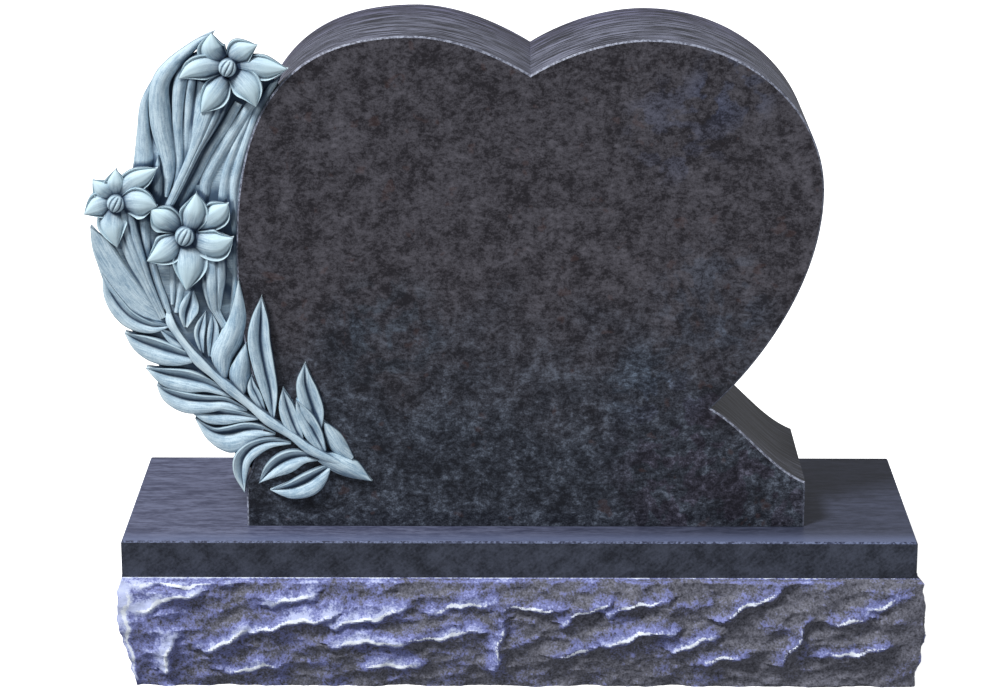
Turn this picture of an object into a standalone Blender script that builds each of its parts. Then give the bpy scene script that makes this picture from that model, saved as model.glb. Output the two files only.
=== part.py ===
"""Heart-shaped granite headstone with a carved spray of lilies, on a rock-pitched granite base.

Metres, +Z up, +X to the right of someone who faces the stone, the front towards -Y.
The origin is the centre of the base's underside.
"""

import math
import random

import bmesh
import bpy
from mathutils import Vector

# The base: one block with a sawn top, a smooth margin under it and rock-pitched sides
BASE_WIDTH = 0.914
BASE_DEPTH = 0.305
BASE_HEIGHT = 0.178
MARGIN_HEIGHT = 0.044
TOP_ARRIS = 0.002
LEDGES = (0.007, 0.005, 0.005, 0.001)
LEDGE_DROP = 0.004
PITCH_WANDER = 0.0015
CORNER_TURNS = 190
PITCH_SWELL = 0.006
BATTERS = (0.004, 0.0, 0.004, 0.012)
CORNER_LUMP = 0.0035
CORNER_EASE = 0.035
RIDGE_REACH_ABOVE = 0.020
RIDGE_REACH_BELOW = 0.009
PITCH_COLUMNS = 62
PITCH_ROWS = 8
RIDGE_SPACING = 0.045
PITCH_SEED = 7

# The headstone: heights are above the base's top, widths are from the heart's own upright axis
REST_GAP = 0.0003
STONE_THICKNESS = 0.200
STONE_ARRIS = 0.003
AXIS_X = 0.012
NOTCH_HEIGHT = 0.533
NOTCH_EASE = 0.040
LOBE_REACH = 0.133
LOBE_HEIGHTS = (0.577, 0.573)
HALF_WIDTHS = (0.333, 0.331)
WIDEST_HEIGHTS = (0.322, 0.397)
LOBE_ROUNDINGS = (0.140, 0.109)
SIDE_ROUNDINGS = (0.175, 0.097)
WAIST_REACHES = (0.300, 0.208)
WAIST_HEIGHT = 0.144
WAIST_EASES = (0.024, 0.064)
FOOT_REACHES = (0.328, 0.319)
FOOT_HEIGHT = 0.055
ARC_STEPS = 11
SAME_PLACE = 0.00001

# The spray: one drawing, counted in spray units from the heart's left side and the base's top
SPRAY_UNIT = 0.001
LEAF_STATIONS = 6
PETAL_STATIONS = 5
STEM_SIDES = 7
CALYX_STATIONS = 6
BRANCH_STATIONS = 12
ROOT_DEPTH = 18
ROOT_LAP = 6
ROOT_SPREAD = 7
GOLDEN_SHARE = 0.618

# Leaves: route from base to tip (across, up), width, height of the base and the tip before the face
STRAPS = {
    "outer": ([(-100, 395), (-107, 450), (-102, 500), (-86, 536)], 21, -8, -10),
    "tall": ([(-86, 396), (-83, 459), (-89, 499), (-78, 534), (-52, 562), (-19, 580)], 25, -2, 0),
    "inner": ([(-74, 390), (-65, 447), (-68, 487), (-62, 522), (-38, 552)], 18, -4, -4),
    "beside_calyx": ([(-64, 385), (-51, 412), (-24, 452), (3, 492)], 11, -6, -2),
    "under_lily": ([(-38, 372), (-30, 405), (-9, 445), (16, 494)], 19, -8, -2),
    "by_the_heart": ([(-20, 366), (-12, 415), (7, 450), (28, 492)], 15, -10, -4),
    "edge": ([(1, 284), (2, 350), (-2, 388), (1, 434), (12, 468)], 12, -8, -6),
    "under_left_lily": ([(-84, 262), (-104, 292), (-118, 322), (-130, 352)], 13, -6, -2),
    "under_left_lily_2": ([(-80, 262), (-92, 300), (-100, 330), (-106, 356)], 12, -8, -4),
}
LEFT_LEAVES = {
    "left_1": ([(-81, 245), (-112, 266), (-142, 300), (-168, 342)], 34, -2, -6),
    "left_2": ([(-80, 238), (-112, 242), (-138, 262), (-154, 296)], 27, -3, -9),
    "left_3": ([(-52, 206), (-82, 204), (-108, 210), (-129, 228)], 30, -1, -8),
    "left_4": ([(-8, 155), (-40, 170), (-74, 182), (-105, 185)], 21, 2, -7),
    "left_5": ([(4, 142), (-30, 152), (-62, 162), (-92, 170)], 20, 2, -7),
    "left_6": ([(14, 130), (-18, 138), (-52, 142), (-84, 156)], 24, 3, -8),
    "left_7": ([(24, 122), (0, 130), (-28, 130), (-56, 131)], 15, 4, -7),
    "left_8": ([(41, 110), (12, 116), (-16, 106), (-24, 82)], 33, 4, -6),
    "left_9": ([(64, 97), (30, 99), (4, 84), (-6, 62), (-1, 41)], 19, 6, -2),
    "left_10": ([(97, 77), (66, 88), (40, 76), (21, 53)], 23, 7, 4),
    "left_11": ([(104, 72), (84, 52), (60, 42), (33, 44)], 22, 7, 3),
}
RIGHT_LEAVES = {
    "strip_1": ([(-84, 262), (-90, 288), (-95, 316)], 9, -5, -7),
    "strip_2": ([(-77, 262), (-76, 288), (-78, 312)], 9, -5, -7),
    "right_1": ([(-63, 232), (-64, 256), (-56, 281)], 20, -2, -6),
    "right_2": ([(-44, 208), (-48, 234), (-41, 261)], 16, -2, -6),
    "right_3": ([(-36, 204), (-36, 226), (-29, 250)], 14, -2, -6),
    "right_4": ([(-20, 184), (-16, 212), (-3, 240), (3, 265), (2, 291)], 35, 2, -2),
    "right_5": ([(-7, 165), (-3, 190), (6, 216)], 20, 1, 2),
    "right_6": ([(19, 141), (10, 162), (12, 180)], 13, 3, 2),
    "right_7": ([(36, 133), (31, 172), (23, 212), (23, 247), (28, 275)], 33, 6, 4),
    "right_8": ([(66, 107), (56, 136), (48, 167)], 20, 5, 4),
    "right_9": ([(96, 124), (83, 156), (75, 197)], 30, 3, 3),
    "right_10": ([(87, 93), (76, 120), (64, 150)], 22, 7, 6),
    "right_11": ([(122, 80), (112, 106), (92, 126)], 24, 6, 4),
    "end_leaf": ([(98, 88), (116, 79), (132, 68), (148, 54)], 18, 6, 3),
}
LEAF_CROWN = 9
LEAF_FOLD = 4
LEAF_EDGE = 4

# Lilies: centre, height of the centre before the face, bud radius, and each petal's tip and width
LILIES = {
    "upper": (
        (-5, 539), 8, 11,
        [(-60, 529, 31), (-19, 579, 30), (24, 569, 30), (60, 541, 27), (24, 501, 30), (-35, 493, 32)],
    ),
    "left": (
        (-137, 387), 6, 10,
        [(-88, 425, 26), (-90, 384, 36), (-137, 333, 31), (-170, 371, 27), (-158, 411, 24), (-135, 425, 22)],
    ),
    "lower": (
        (-61, 348), 10, 12,
        [(-98, 374, 31), (-44, 397, 27), (-9, 384, 26), (-4, 347, 30), (-57, 284, 33), (-106, 317, 29)],
    ),
}
PETAL_RISE = 9
PETAL_TIP_RISE = 5
PETAL_CROWN = 2.5
PETAL_CHANNEL = 1
PETAL_EDGE = 2
BUD_SIDES = 9
BUD_PROFILE = [(1.0, 4), (0.8, 9), (0.35, 12)]

# Calyx tubes and the branch: (across, up, radius, height before the face) along each
CALYXES = {
    "upper": [
        (-17, 514, 26, -8), (-38, 474, 20, -5), (-53, 444, 12, -3), (-66, 412, 8, -4), (-80, 378, 7, -6),
    ],
    "left": [(-131, 362, 14, -8), (-119, 322, 12, -7), (-106, 287, 9, -7), (-88, 250, 5, -8)],
    "lower": [(-34, 322, 16, -4), (-28, 287, 14, -3), (-27, 262, 9, -5), (-20, 236, 4, -6)],
}
BRANCH = [
    (-81, 272, 4, -6), (-79, 246, 5, 0), (-54, 215, 6, 3), (-29, 184, 6, 5),
    (9, 148, 6, 7), (54, 111, 6, 8), (100, 83, 5, 8), (124, 72, 4, 7),
]

# The stone left behind the leaves: its outline (across, up), and how it draws in towards the back
BACKING_OUTLINE = [
    (-14, 560), (-44, 548), (-70, 526), (-88, 500), (-98, 460), (-100, 412), (-124, 402), (-150, 392),
    (-157, 366), (-152, 330), (-146, 298), (-134, 256), (-112, 214), (-84, 192), (-68, 154), (-46, 134),
    (-32, 110), (-14, 86), (4, 66), (24, 52), (60, 60), (90, 160), (70, 300), (60, 420), (60, 500), (30, 545),
]
BACKING_CENTRE = (10, 270)
BACKING_RINGS = [(0, 0.955), (0.09, 1.0), (0.38, 0.93), (0.66, 0.82), (0.88, 0.63), (1.0, 0.42)]
BACKING_REACH = 0.88

# Ridges of the rock-pitched front: from (along, up) to (along, up), as shares of half the width and of
# the pitched height, and how proud in metres
FRONT_RIDGES = [
    (-0.93, 0.45, -0.81, 0.72, 0.007), (-0.80, 0.34, -0.68, 0.56, 0.009),
    (-0.68, 0.54, -0.47, 0.69, 0.009), (-0.46, 0.59, -0.29, 0.74, 0.008),
    (-0.62, 0.78, -0.52, 0.89, 0.007), (-0.47, 0.43, -0.29, 0.44, 0.009),
    (-0.29, 0.44, -0.11, 0.54, 0.008), (-0.90, 0.15, -0.88, 0.46, 0.008),
    (-0.22, 0.72, -0.07, 0.81, 0.006), (-0.06, 0.16, -0.04, 0.66, 0.008),
    (-0.05, 0.74, 0.11, 0.75, 0.007), (0.11, 0.63, 0.23, 0.82, 0.009),
    (0.23, 0.72, 0.37, 0.84, 0.008), (0.21, 0.43, 0.38, 0.56, 0.009),
    (0.09, 0.30, 0.20, 0.39, 0.006), (0.39, 0.37, 0.49, 0.49, 0.007),
    (0.51, 0.66, 0.66, 0.92, 0.009), (0.66, 0.22, 0.73, 0.63, 0.009),
    (0.78, 0.63, 0.88, 0.66, 0.007), (0.47, 0.24, 0.56, 0.31, 0.007),
    (0.77, 0.30, 0.92, 0.39, 0.007), (0.88, 0.72, 0.96, 0.84, 0.006),
    (-0.74, 0.15, -0.61, 0.21, 0.006), (-0.39, 0.18, -0.26, 0.22, 0.006),
]


def material(name, colour, roughness):
    made = bpy.data.materials.new(name)
    made.use_nodes = True
    shader = made.node_tree.nodes["Principled BSDF"]
    shader.inputs["Base Color"].default_value = (*colour, 1)
    shader.inputs["Roughness"].default_value = roughness
    shader.inputs["Metallic"].default_value = 0
    return made


def placed(name, mesh, finish=None):
    body = bpy.data.objects.new(name, mesh)
    if finish:
        mesh.materials.append(finish)
    bpy.context.scene.collection.objects.link(body)
    return body


def lofted(name, rings, finish=None):
    """A closed body through rings of points, all with the same number of points."""
    work = bmesh.new()
    rows = [[work.verts.new(point) for point in ring] for ring in rings]
    for lower, upper in zip(rows, rows[1:]):
        for i in range(len(lower)):
            j = (i + 1) % len(lower)
            work.faces.new((lower[i], lower[j], upper[j], upper[i]))
    work.faces.new(rows[0])
    work.faces.new(rows[-1])
    bmesh.ops.triangulate(work, faces=work.faces[:])
    bmesh.ops.recalc_face_normals(work, faces=work.faces[:])
    mesh = bpy.data.meshes.new(name)
    work.to_mesh(mesh)
    work.free()
    return placed(name, mesh, finish)


def curve_points(start, start_handle, end_handle, end, steps):
    """Points of a cubic curve, without its last one."""
    found = []
    for i in range(steps):
        t = i / steps
        weights = ((1 - t) ** 3, 3 * t * (1 - t) ** 2, 3 * t * t * (1 - t), t**3)
        found.append(
            tuple(
                sum(w * p[k] for w, p in zip(weights, (start, start_handle, end_handle, end)))
                for k in (0, 1)
            )
        )
    return found


def smooth_route(points, steps):
    """Points spread evenly by parameter over a smooth curve through the given points."""
    found = []
    last = len(points) - 1
    for i in range(steps):
        place = i / (steps - 1) * last
        k = min(int(place), last - 1)
        t = place - k
        near = [points[min(max(k + n, 0), last)] for n in (-1, 0, 1, 2)]
        found.append(
            tuple(
                0.5
                * (
                    2 * b
                    + (c - a) * t
                    + (2 * a - 5 * b + 4 * c - d) * t**2
                    + (3 * b - a - 3 * c + d) * t**3
                )
                for a, b, c, d in zip(*near)
            )
        )
    return found


def half_outline(side):
    """The headstone's outline on one side, above the base's top, from the notch to the foot's corner."""
    k = 0 if side < 0 else 1
    top, width, widest = LOBE_HEIGHTS[k], HALF_WIDTHS[k], WIDEST_HEIGHTS[k]
    notch = (0, NOTCH_HEIGHT)
    lobe = (LOBE_REACH, top)
    flank = (width, widest)
    waist = (WAIST_REACHES[k], WAIST_HEIGHT)
    shoulder = (FOOT_REACHES[k], FOOT_HEIGHT)
    rise = FOOT_REACHES[k] - WAIST_REACHES[k]
    drop = WAIST_HEIGHT - FOOT_HEIGHT
    points = curve_points(
        notch,
        (NOTCH_EASE, NOTCH_HEIGHT + NOTCH_EASE * 0.62),
        (LOBE_REACH - NOTCH_EASE * 1.1, top),
        lobe,
        ARC_STEPS,
    )
    points += curve_points(
        lobe, (LOBE_REACH + LOBE_ROUNDINGS[k], top), (width, widest + SIDE_ROUNDINGS[k]), flank, ARC_STEPS
    )
    points += curve_points(
        flank,
        (width, widest - (widest - WAIST_HEIGHT) * 0.38),
        (WAIST_REACHES[k] + WAIST_EASES[k], WAIST_HEIGHT + WAIST_EASES[k] * 0.96),
        waist,
        ARC_STEPS,
    )
    points += curve_points(
        waist,
        (WAIST_REACHES[k] + rise * 0.38, WAIST_HEIGHT - drop * 0.28),
        (WAIST_REACHES[k] + rise * 0.63, FOOT_HEIGHT + drop * 0.19),
        shoulder,
        ARC_STEPS - 3,
    )
    points += [shoulder, (FOOT_REACHES[k], REST_GAP)]
    return [(AXIS_X + side * across, up) for across, up in points]


def heart_stone(finish):
    """The heart and its foot, sawn through the full thickness, with a narrow arris round the front."""
    outline = half_outline(1) + half_outline(-1)[:0:-1]
    front = -STONE_THICKNESS / 2
    work = bmesh.new()
    face = work.faces.new([work.verts.new((x, front, z)) for x, z in outline])
    grown = bmesh.ops.extrude_face_region(work, geom=[face])
    behind = [part for part in grown["geom"] if isinstance(part, bmesh.types.BMVert)]
    bmesh.ops.translate(work, verts=behind, vec=(0, STONE_THICKNESS, 0))
    bmesh.ops.recalc_face_normals(work, faces=work.faces[:])
    rim = [
        edge
        for edge in work.edges
        if all(v.co.y < front + SAME_PLACE for v in edge.verts)
        and any(v.co.z > REST_GAP + SAME_PLACE for v in edge.verts)
    ]
    bmesh.ops.bevel(
        work, geom=rim, offset=STONE_ARRIS, offset_type="OFFSET", segments=1, affect="EDGES"
    )
    bmesh.ops.triangulate(work, faces=work.faces[:])
    mesh = bpy.data.meshes.new("heart_headstone")
    work.to_mesh(mesh)
    work.free()
    return placed("heart_headstone", mesh, finish)


def on_stone(across, up, proud):
    """A point of the spray's drawing, in metres above the base's top."""
    return Vector(
        (
            AXIS_X - HALF_WIDTHS[0] + across * SPRAY_UNIT,
            -STONE_THICKNESS / 2 - proud * SPRAY_UNIT,
            up * SPRAY_UNIT,
        )
    )


def sideways(route, i):
    """The unit direction to the left of a route, in its own plane."""
    ahead = Vector(route[min(i + 1, len(route) - 1)][:2])
    behind = Vector(route[max(i - 1, 0)][:2])
    along = (ahead - behind).normalized()
    return Vector((-along.y, along.x))


def root_depth(order):
    """How far back a carved solid is rooted: no two undersides lie in one plane."""
    return -ROOT_DEPTH - ROOT_LAP - ROOT_SPREAD * (order * GOLDEN_SHARE % 1)


def leaf(name, root, route, width, base_height, tip_height):
    """A carved leaf: two halves that fall to a fold, on sides that run back into the stone."""
    spine = smooth_route(route, LEAF_STATIONS)
    rings = []
    for i, (across, up) in enumerate(spine):
        t = i / (LEAF_STATIONS - 1)
        half = width / 2 * (0.22 + 0.78 * math.sin(math.pi * min(t, 0.97) ** 0.85) ** 0.8)
        half *= 1 if t < 0.99 else 0.3
        height = base_height + (tip_height - base_height) * t
        arch = math.sin(math.pi * t) ** 0.6
        side = sideways(spine, i)
        section = [
            (-1.0, height - LEAF_EDGE + LEAF_CROWN * arch * 0.4),
            (-0.55, height + LEAF_CROWN * arch),
            (0.0, height + (LEAF_CROWN - LEAF_FOLD) * arch),
            (0.55, height + LEAF_CROWN * arch),
            (1.0, height - LEAF_EDGE + LEAF_CROWN * arch * 0.4),
            (1.0, root),
            (-1.0, root),
        ]
        rings.append(
            [on_stone(across + side.x * half * s, up + side.y * half * s, proud) for s, proud in section]
        )
    return lofted(name, rings)


def petal(name, root, centre, height, tip, width):
    """A lily petal: it rises from the throat, arches over and falls to its tip."""
    start = Vector(centre)
    reach = Vector(tip) - start
    side = Vector((-reach.y, reach.x)).normalized()
    rings = []
    for i in range(PETAL_STATIONS):
        t = i / (PETAL_STATIONS - 1)
        spot = start + reach * (0.05 + 0.95 * t)
        half = width / 2 * (0.3 + 0.7 * math.sin(math.pi * min(t, 0.96) ** 1.15) ** 0.9)
        half *= 1 if t < 0.99 else 0.25
        arch = height + PETAL_RISE * math.sin(math.pi * t**0.8) + (PETAL_TIP_RISE - height) * t**2 * 0.6
        section = [
            (-1.0, arch - PETAL_EDGE),
            (-0.5, arch + PETAL_CROWN),
            (0.0, arch + PETAL_CHANNEL),
            (0.5, arch + PETAL_CROWN),
            (1.0, arch - PETAL_EDGE),
            (1.0, root),
            (-1.0, root),
        ]
        rings.append(
            [on_stone(spot.x + side.x * half * s, spot.y + side.y * half * s, proud) for s, proud in section]
        )
    return lofted(name, rings)


def bud(name, root, centre, height, radius):
    """The closed dome in a lily's throat."""
    rings = []
    profile = [(1.0, root)] + [(share, height + lift) for share, lift in BUD_PROFILE]
    for share, proud in profile:
        rings.append(
            [
                on_stone(
                    centre[0] + radius * share * math.cos(turn * math.tau / BUD_SIDES),
                    centre[1] + radius * share * math.sin(turn * math.tau / BUD_SIDES),
                    proud,
                )
                for turn in range(BUD_SIDES)
            ]
        )
    return lofted(name, rings)


def stem(name, root, route, steps):
    """A round stem or calyx tube, half sunk in the stone."""
    spine = smooth_route(route, steps)
    rings = []
    for i, (across, up, radius, height) in enumerate(spine):
        side = sideways(spine, i)
        section = []
        for k in range(STEM_SIDES):
            turn = math.pi * k / (STEM_SIDES - 1)
            section.append((math.cos(turn) * radius, height + math.sin(turn) * radius * 0.7))
        section += [(-radius, root), (radius, root)]
        rings.append([on_stone(across + side.x * s, up + side.y * s, proud) for s, proud in section])
    return lofted(name, rings)


def backing():
    """The roughed-out stone behind the leaves, drawing in towards the back."""
    deepest = STONE_THICKNESS * BACKING_REACH / SPRAY_UNIT
    rings = []
    for depth, share in BACKING_RINGS:
        rings.append(
            [
                on_stone(
                    BACKING_CENTRE[0] + (across - BACKING_CENTRE[0]) * share,
                    BACKING_CENTRE[1] + (up - BACKING_CENTRE[1]) * share,
                    -ROOT_DEPTH - (deepest - ROOT_DEPTH) * depth,
                )
                for across, up in BACKING_OUTLINE
            ]
        )
    return lofted("backing", rings)


def spray():
    """Every carved solid of the spray, from the back to the front."""
    solids = [backing()]

    def root():
        return root_depth(len(solids))

    for group in (STRAPS, LEFT_LEAVES, RIGHT_LEAVES):
        for name, row in group.items():
            solids.append(leaf(name, root(), *row))
    for name, route in CALYXES.items():
        solids.append(stem(f"calyx_{name}", root(), route, CALYX_STATIONS))
    solids.append(stem("branch", root(), BRANCH, BRANCH_STATIONS))
    for name, (centre, height, radius, petals) in LILIES.items():
        for i, (across, up, width) in enumerate(petals):
            solids.append(petal(f"petal_{name}_{i}", root(), centre, height, (across, up), width))
        solids.append(bud(f"bud_{name}", root(), centre, height, radius))
    return solids


def headstone():
    """The heart and the spray as one stone, carved in its own frame and set on the base's top."""
    stone = heart_stone(material("polished granite", (0.045, 0.045, 0.06), 0.2))
    stone.location.z = BASE_HEIGHT
    carving = bpy.data.collections.new("carving")
    bpy.context.scene.collection.children.link(carving)
    for solid in spray():
        solid.location.z = BASE_HEIGHT
        bpy.context.scene.collection.objects.unlink(solid)
        carving.objects.link(solid)
        solid.hide_render = True
        solid.display_type = "WIRE"
    union = stone.modifiers.new("spray", "BOOLEAN")
    union.operation = "UNION"
    union.operand_type = "COLLECTION"
    union.collection = carving
    union.solver = "EXACT"
    union.use_self = False
    return stone


def ridge_height(ridges, along, up):
    """How far the rock face stands out at one place: the proudest ridge there."""
    proudest = 0.0
    for start, end, proud in ridges:
        run = end - start
        spot = Vector((along, up)) - start
        share = min(max(spot.dot(run) / run.length_squared, 0), 1)
        away = spot - run * share
        reach = RIDGE_REACH_ABOVE if away.y > 0 else RIDGE_REACH_BELOW
        nearness = max(1 - away.length / reach, 0)
        proudest = max(proudest, proud * nearness)
    return proudest


def drawn_ridges(rows, half_length, height):
    """The front's ridges at the base's own size."""
    return [
        (Vector((x0 * half_length, z0 * height)), Vector((x1 * half_length, z1 * height)), proud)
        for x0, z0, x1, z1, proud in rows
    ]


def pitched_side(number, length, height):
    """Ridges for a side that no drawing gives, running up to the right."""
    draw = random.Random(PITCH_SEED + number)
    count = round(length / RIDGE_SPACING)
    ridges = []
    for i in range(count):
        middle = -length / 2 + length * (i + draw.random()) / count
        up = height * draw.uniform(0.1, 0.85)
        run = RIDGE_SPACING * draw.uniform(0.9, 2.0)
        rise = RIDGE_SPACING * draw.uniform(0.0, 0.6)
        proud = PITCH_SWELL * draw.uniform(0.8, 1.5)
        ridges.append((Vector((middle - run / 2, up)), Vector((middle + run / 2, up + rise)), proud))
    return ridges


def base_block():
    """The base: a sawn top and margin over four rock-pitched sides."""
    pitch_top = BASE_HEIGHT - MARGIN_HEIGHT
    end_columns = max(round(PITCH_COLUMNS * BASE_DEPTH / BASE_WIDTH), 3)
    half_width = BASE_WIDTH / 2
    half_depth = BASE_DEPTH / 2
    front = drawn_ridges(FRONT_RIDGES, half_width, pitch_top)
    right, back, left = (
        pitched_side(k, length, pitch_top)
        for k, length in enumerate((BASE_DEPTH, BASE_WIDTH, BASE_DEPTH))
    )
    sides = (
        Side(BASE_WIDTH, PITCH_COLUMNS, Vector((1, 0)), half_depth, front, LEDGES[0], BATTERS[0]),
        Side(BASE_DEPTH, end_columns, Vector((0, 1)), half_width, right, LEDGES[1], BATTERS[1]),
        Side(BASE_WIDTH, PITCH_COLUMNS // 2, Vector((-1, 0)), half_depth, back, LEDGES[2], BATTERS[2]),
        Side(BASE_DEPTH, end_columns, Vector((0, -1)), half_width, left, LEDGES[3], BATTERS[3]),
    )
    ledge = pitch_top - LEDGE_DROP
    rings = [
        outline_at(sides, BASE_HEIGHT, lambda side, along: -TOP_ARRIS),
        outline_at(sides, BASE_HEIGHT - TOP_ARRIS, lambda side, along: 0),
        outline_at(sides, pitch_top, lambda side, along: 0),
    ]
    for row in range(PITCH_ROWS + 1):
        up = ledge * (1 - row / PITCH_ROWS)
        rings.append(outline_at(sides, up, lambda side, along: side.reach(along, up)))
    return lofted("rock_pitched_base", rings, material("base granite", (0.05, 0.05, 0.075), 0.6))


class Side:
    """One side of the base, seen from outside: its run, and its distance from the middle."""

    def __init__(self, length, columns, run, away, ridges, ledge, batter):
        self.length = length
        self.columns = columns
        self.run = run
        self.out = Vector((run.y, -run.x))
        self.away = away
        self.ridges = ridges
        self.ledge = ledge
        self.batter = batter

    def point(self, along, beyond, slip, up):
        spot = self.run * (along + slip) + self.out * (self.away + beyond)
        return (spot.x, spot.y, up)

    def reach(self, along, up):
        """How far the rock face stands out of the margin's plane."""
        low = 1 - up / (BASE_HEIGHT - MARGIN_HEIGHT)
        swell = self.ledge + PITCH_SWELL * (math.sin(math.pi * low) - 0.5 * low) - self.batter * low**2
        wander = PITCH_WANDER * (math.sin(along * 61 + up * 40) + math.sin(along * 133 - up * 75) / 2)
        shelf = min((self.length / 2 - abs(along)) / CORNER_EASE, 1)
        proud = ridge_height(self.ridges, along, up) * shelf
        return swell + wander + proud


def outline_at(sides, up, reach):
    """One level of the base's outline: its corners, and the points between them."""
    ring = []
    for k, side in enumerate(sides):
        before = sides[k - 1]
        start = -side.length / 2
        beyond = reach(side, start)
        slip = -reach(before, before.length / 2)
        if up < BASE_HEIGHT - MARGIN_HEIGHT:
            beyond += CORNER_LUMP * math.sin(up * CORNER_TURNS + k)
        ring.append(side.point(start, beyond, slip, up))
        for i in range(1, side.columns):
            along = start + side.length * i / side.columns
            ring.append(side.point(along, reach(side, along), 0, up))
    return ring


def main():
    for old in list(bpy.data.objects):
        bpy.data.objects.remove(old, do_unlink=True)
    base_block()
    headstone()


main()
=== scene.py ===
"""Looks of the heart-shaped granite headstone: polished face, carved lily spray, rock-pitched base.

Metres, +Z up, the front towards -Y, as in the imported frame. The spray is drawn in spray units,
a millimetre each, across from the heart's left side and up from the base's top.
"""

import math

import bmesh
import bpy
import numpy as np
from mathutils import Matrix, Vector, noise


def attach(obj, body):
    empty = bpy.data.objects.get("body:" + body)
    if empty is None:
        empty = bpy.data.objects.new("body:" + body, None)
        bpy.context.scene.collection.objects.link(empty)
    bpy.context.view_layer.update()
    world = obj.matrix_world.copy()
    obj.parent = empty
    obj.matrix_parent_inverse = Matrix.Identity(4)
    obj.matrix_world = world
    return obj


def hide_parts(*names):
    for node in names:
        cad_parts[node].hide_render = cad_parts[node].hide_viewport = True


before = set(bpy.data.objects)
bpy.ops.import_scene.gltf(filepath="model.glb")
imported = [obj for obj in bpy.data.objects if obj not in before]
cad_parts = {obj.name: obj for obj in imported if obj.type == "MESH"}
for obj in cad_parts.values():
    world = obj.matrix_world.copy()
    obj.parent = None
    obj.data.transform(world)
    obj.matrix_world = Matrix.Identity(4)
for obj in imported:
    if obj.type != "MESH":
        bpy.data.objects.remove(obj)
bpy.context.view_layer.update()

# The base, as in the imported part
BASE_WIDTH = 0.914
BASE_DEPTH = 0.305
BASE_HEIGHT = 0.178
MARGIN_HEIGHT = 0.044
TOP_ARRIS = 0.002

# Its rock-pitched sides, in the order front, right, back and left: how far each stands past the margin and
# draws in at the foot, how all of them swell and wander, and how they meet at the corners. Waves are given
# along and up, in radians a metre
LEDGES = (0.007, 0.005, 0.005, 0.001)
LEDGE_DROP = 0.004
LEDGE_ROWS = 4
LEDGE_GLINT = 0.2
BATTERS = (0.004, 0.0, 0.004, 0.012)
PITCH_SWELL = 0.006
PITCH_WANDER = 0.0015
PITCH_WAVES = (61, 40)
FINER_PITCH_WAVES = (133, -75)
PITCH_CELL = 0.0023
CORNER_TURNS = 190
CORNER_LUMP = 0.0020
CORNER_EASE = 0.035
CORNER_BREAK = 0.35
CORNER_REACH = 0.020
LIP_HIGHLIGHT = 0.6

# Their ridges: how far a ridge's form reaches, how it wavers, and where its painted glints and crest
# highlights lie
RIDGE_REACH_ABOVE = 0.020
RIDGE_REACH_BELOW = 0.009
RIDGE_WOBBLE = 0.0022
RIDGE_WAVES_ALONG = (60, 170)
RIDGE_WAVES_UP = (95, 50)
RIDGE_FINE_WAVES = 260
GLINT_ABOVE = 0.018
GLINT_BELOW = 0.005
CREST_HIGHLIGHT_WIDTH = 0.0026
CREST_HIGHLIGHT_RISE = 0.0012
CREST_HIGHLIGHT_ENDS = 0.12

# Small crests between the ridges: the cells round one that it is compared with, how proud it is for a full
# painted glint, how much it and a slope add, and how much has to be there before it shows
SMALL_CREST_CELLS = (-3, -1, 1, 3)
SMALL_CREST = 0.0014
SMALL_GLINT = 0.3
GLINT_FROM = 0.05
STEEPEST_DOWN = 2

# Break of the rock face: size of the scallops and how deep they are, large then small
SCALLOP_SIZES = (0.034, 0.011)
SCALLOP_DEPTHS = (0.0075, 0.0022)
SCALLOP_STRETCH = 0.5
SCALLOP_LEAN = 0.35
SCALLOP_LEVEL = 0.3
GRIT_SIZE = 0.0035
GRIT_DEPTH = 0.0006

# Ridges of the rock-pitched front: from (along, up) to (along, up), as shares of half the width and of
# the pitched height, and how proud in metres
FRONT_RIDGES = [
    (-0.96, 0.72, -0.81, 0.91, 0.008), (-0.80, 0.34, -0.68, 0.56, 0.009),
    (-0.68, 0.54, -0.47, 0.69, 0.009), (-0.46, 0.59, -0.29, 0.74, 0.008),
    (-0.62, 0.78, -0.52, 0.89, 0.007), (-0.47, 0.43, -0.29, 0.44, 0.009),
    (-0.29, 0.44, -0.11, 0.54, 0.008), (-0.90, 0.15, -0.88, 0.46, 0.008),
    (-0.22, 0.72, -0.07, 0.81, 0.006), (-0.06, 0.16, -0.04, 0.66, 0.008),
    (-0.05, 0.74, 0.11, 0.75, 0.007), (0.11, 0.63, 0.23, 0.82, 0.009),
    (0.23, 0.72, 0.37, 0.84, 0.008), (0.21, 0.43, 0.38, 0.56, 0.009),
    (0.09, 0.30, 0.20, 0.39, 0.006), (0.39, 0.37, 0.49, 0.49, 0.007),
    (0.51, 0.66, 0.66, 0.92, 0.009), (0.66, 0.22, 0.73, 0.63, 0.009),
    (0.78, 0.63, 0.88, 0.66, 0.007), (0.47, 0.24, 0.56, 0.31, 0.007),
    (0.77, 0.30, 0.92, 0.39, 0.007), (0.88, 0.72, 0.96, 0.84, 0.006),
    (-0.74, 0.15, -0.61, 0.21, 0.006), (-0.39, 0.18, -0.26, 0.22, 0.006),
    (-0.99, 0.10, -0.98, 0.94, 0.006), (-0.97, 0.95, -0.72, 0.97, 0.005),
]

# Ridges of the other sides: the room for each and how far it strays along, then its height as shares of
# the pitched height, its length, and how far it rises, each with how much that varies
OTHER_RIDGE_ROOM = 0.045
OTHER_RIDGE_STRAY = 0.6
OTHER_RIDGE_UP = (0.48, 0.45)
OTHER_RIDGE_LENGTH = (0.065, 0.4)
OTHER_RIDGE_RISE = (0.014, 1)
OTHER_RIDGE_PROUD = 0.007
OTHER_RIDGE_LAYERS = (0, 5, 9, 13)

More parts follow.
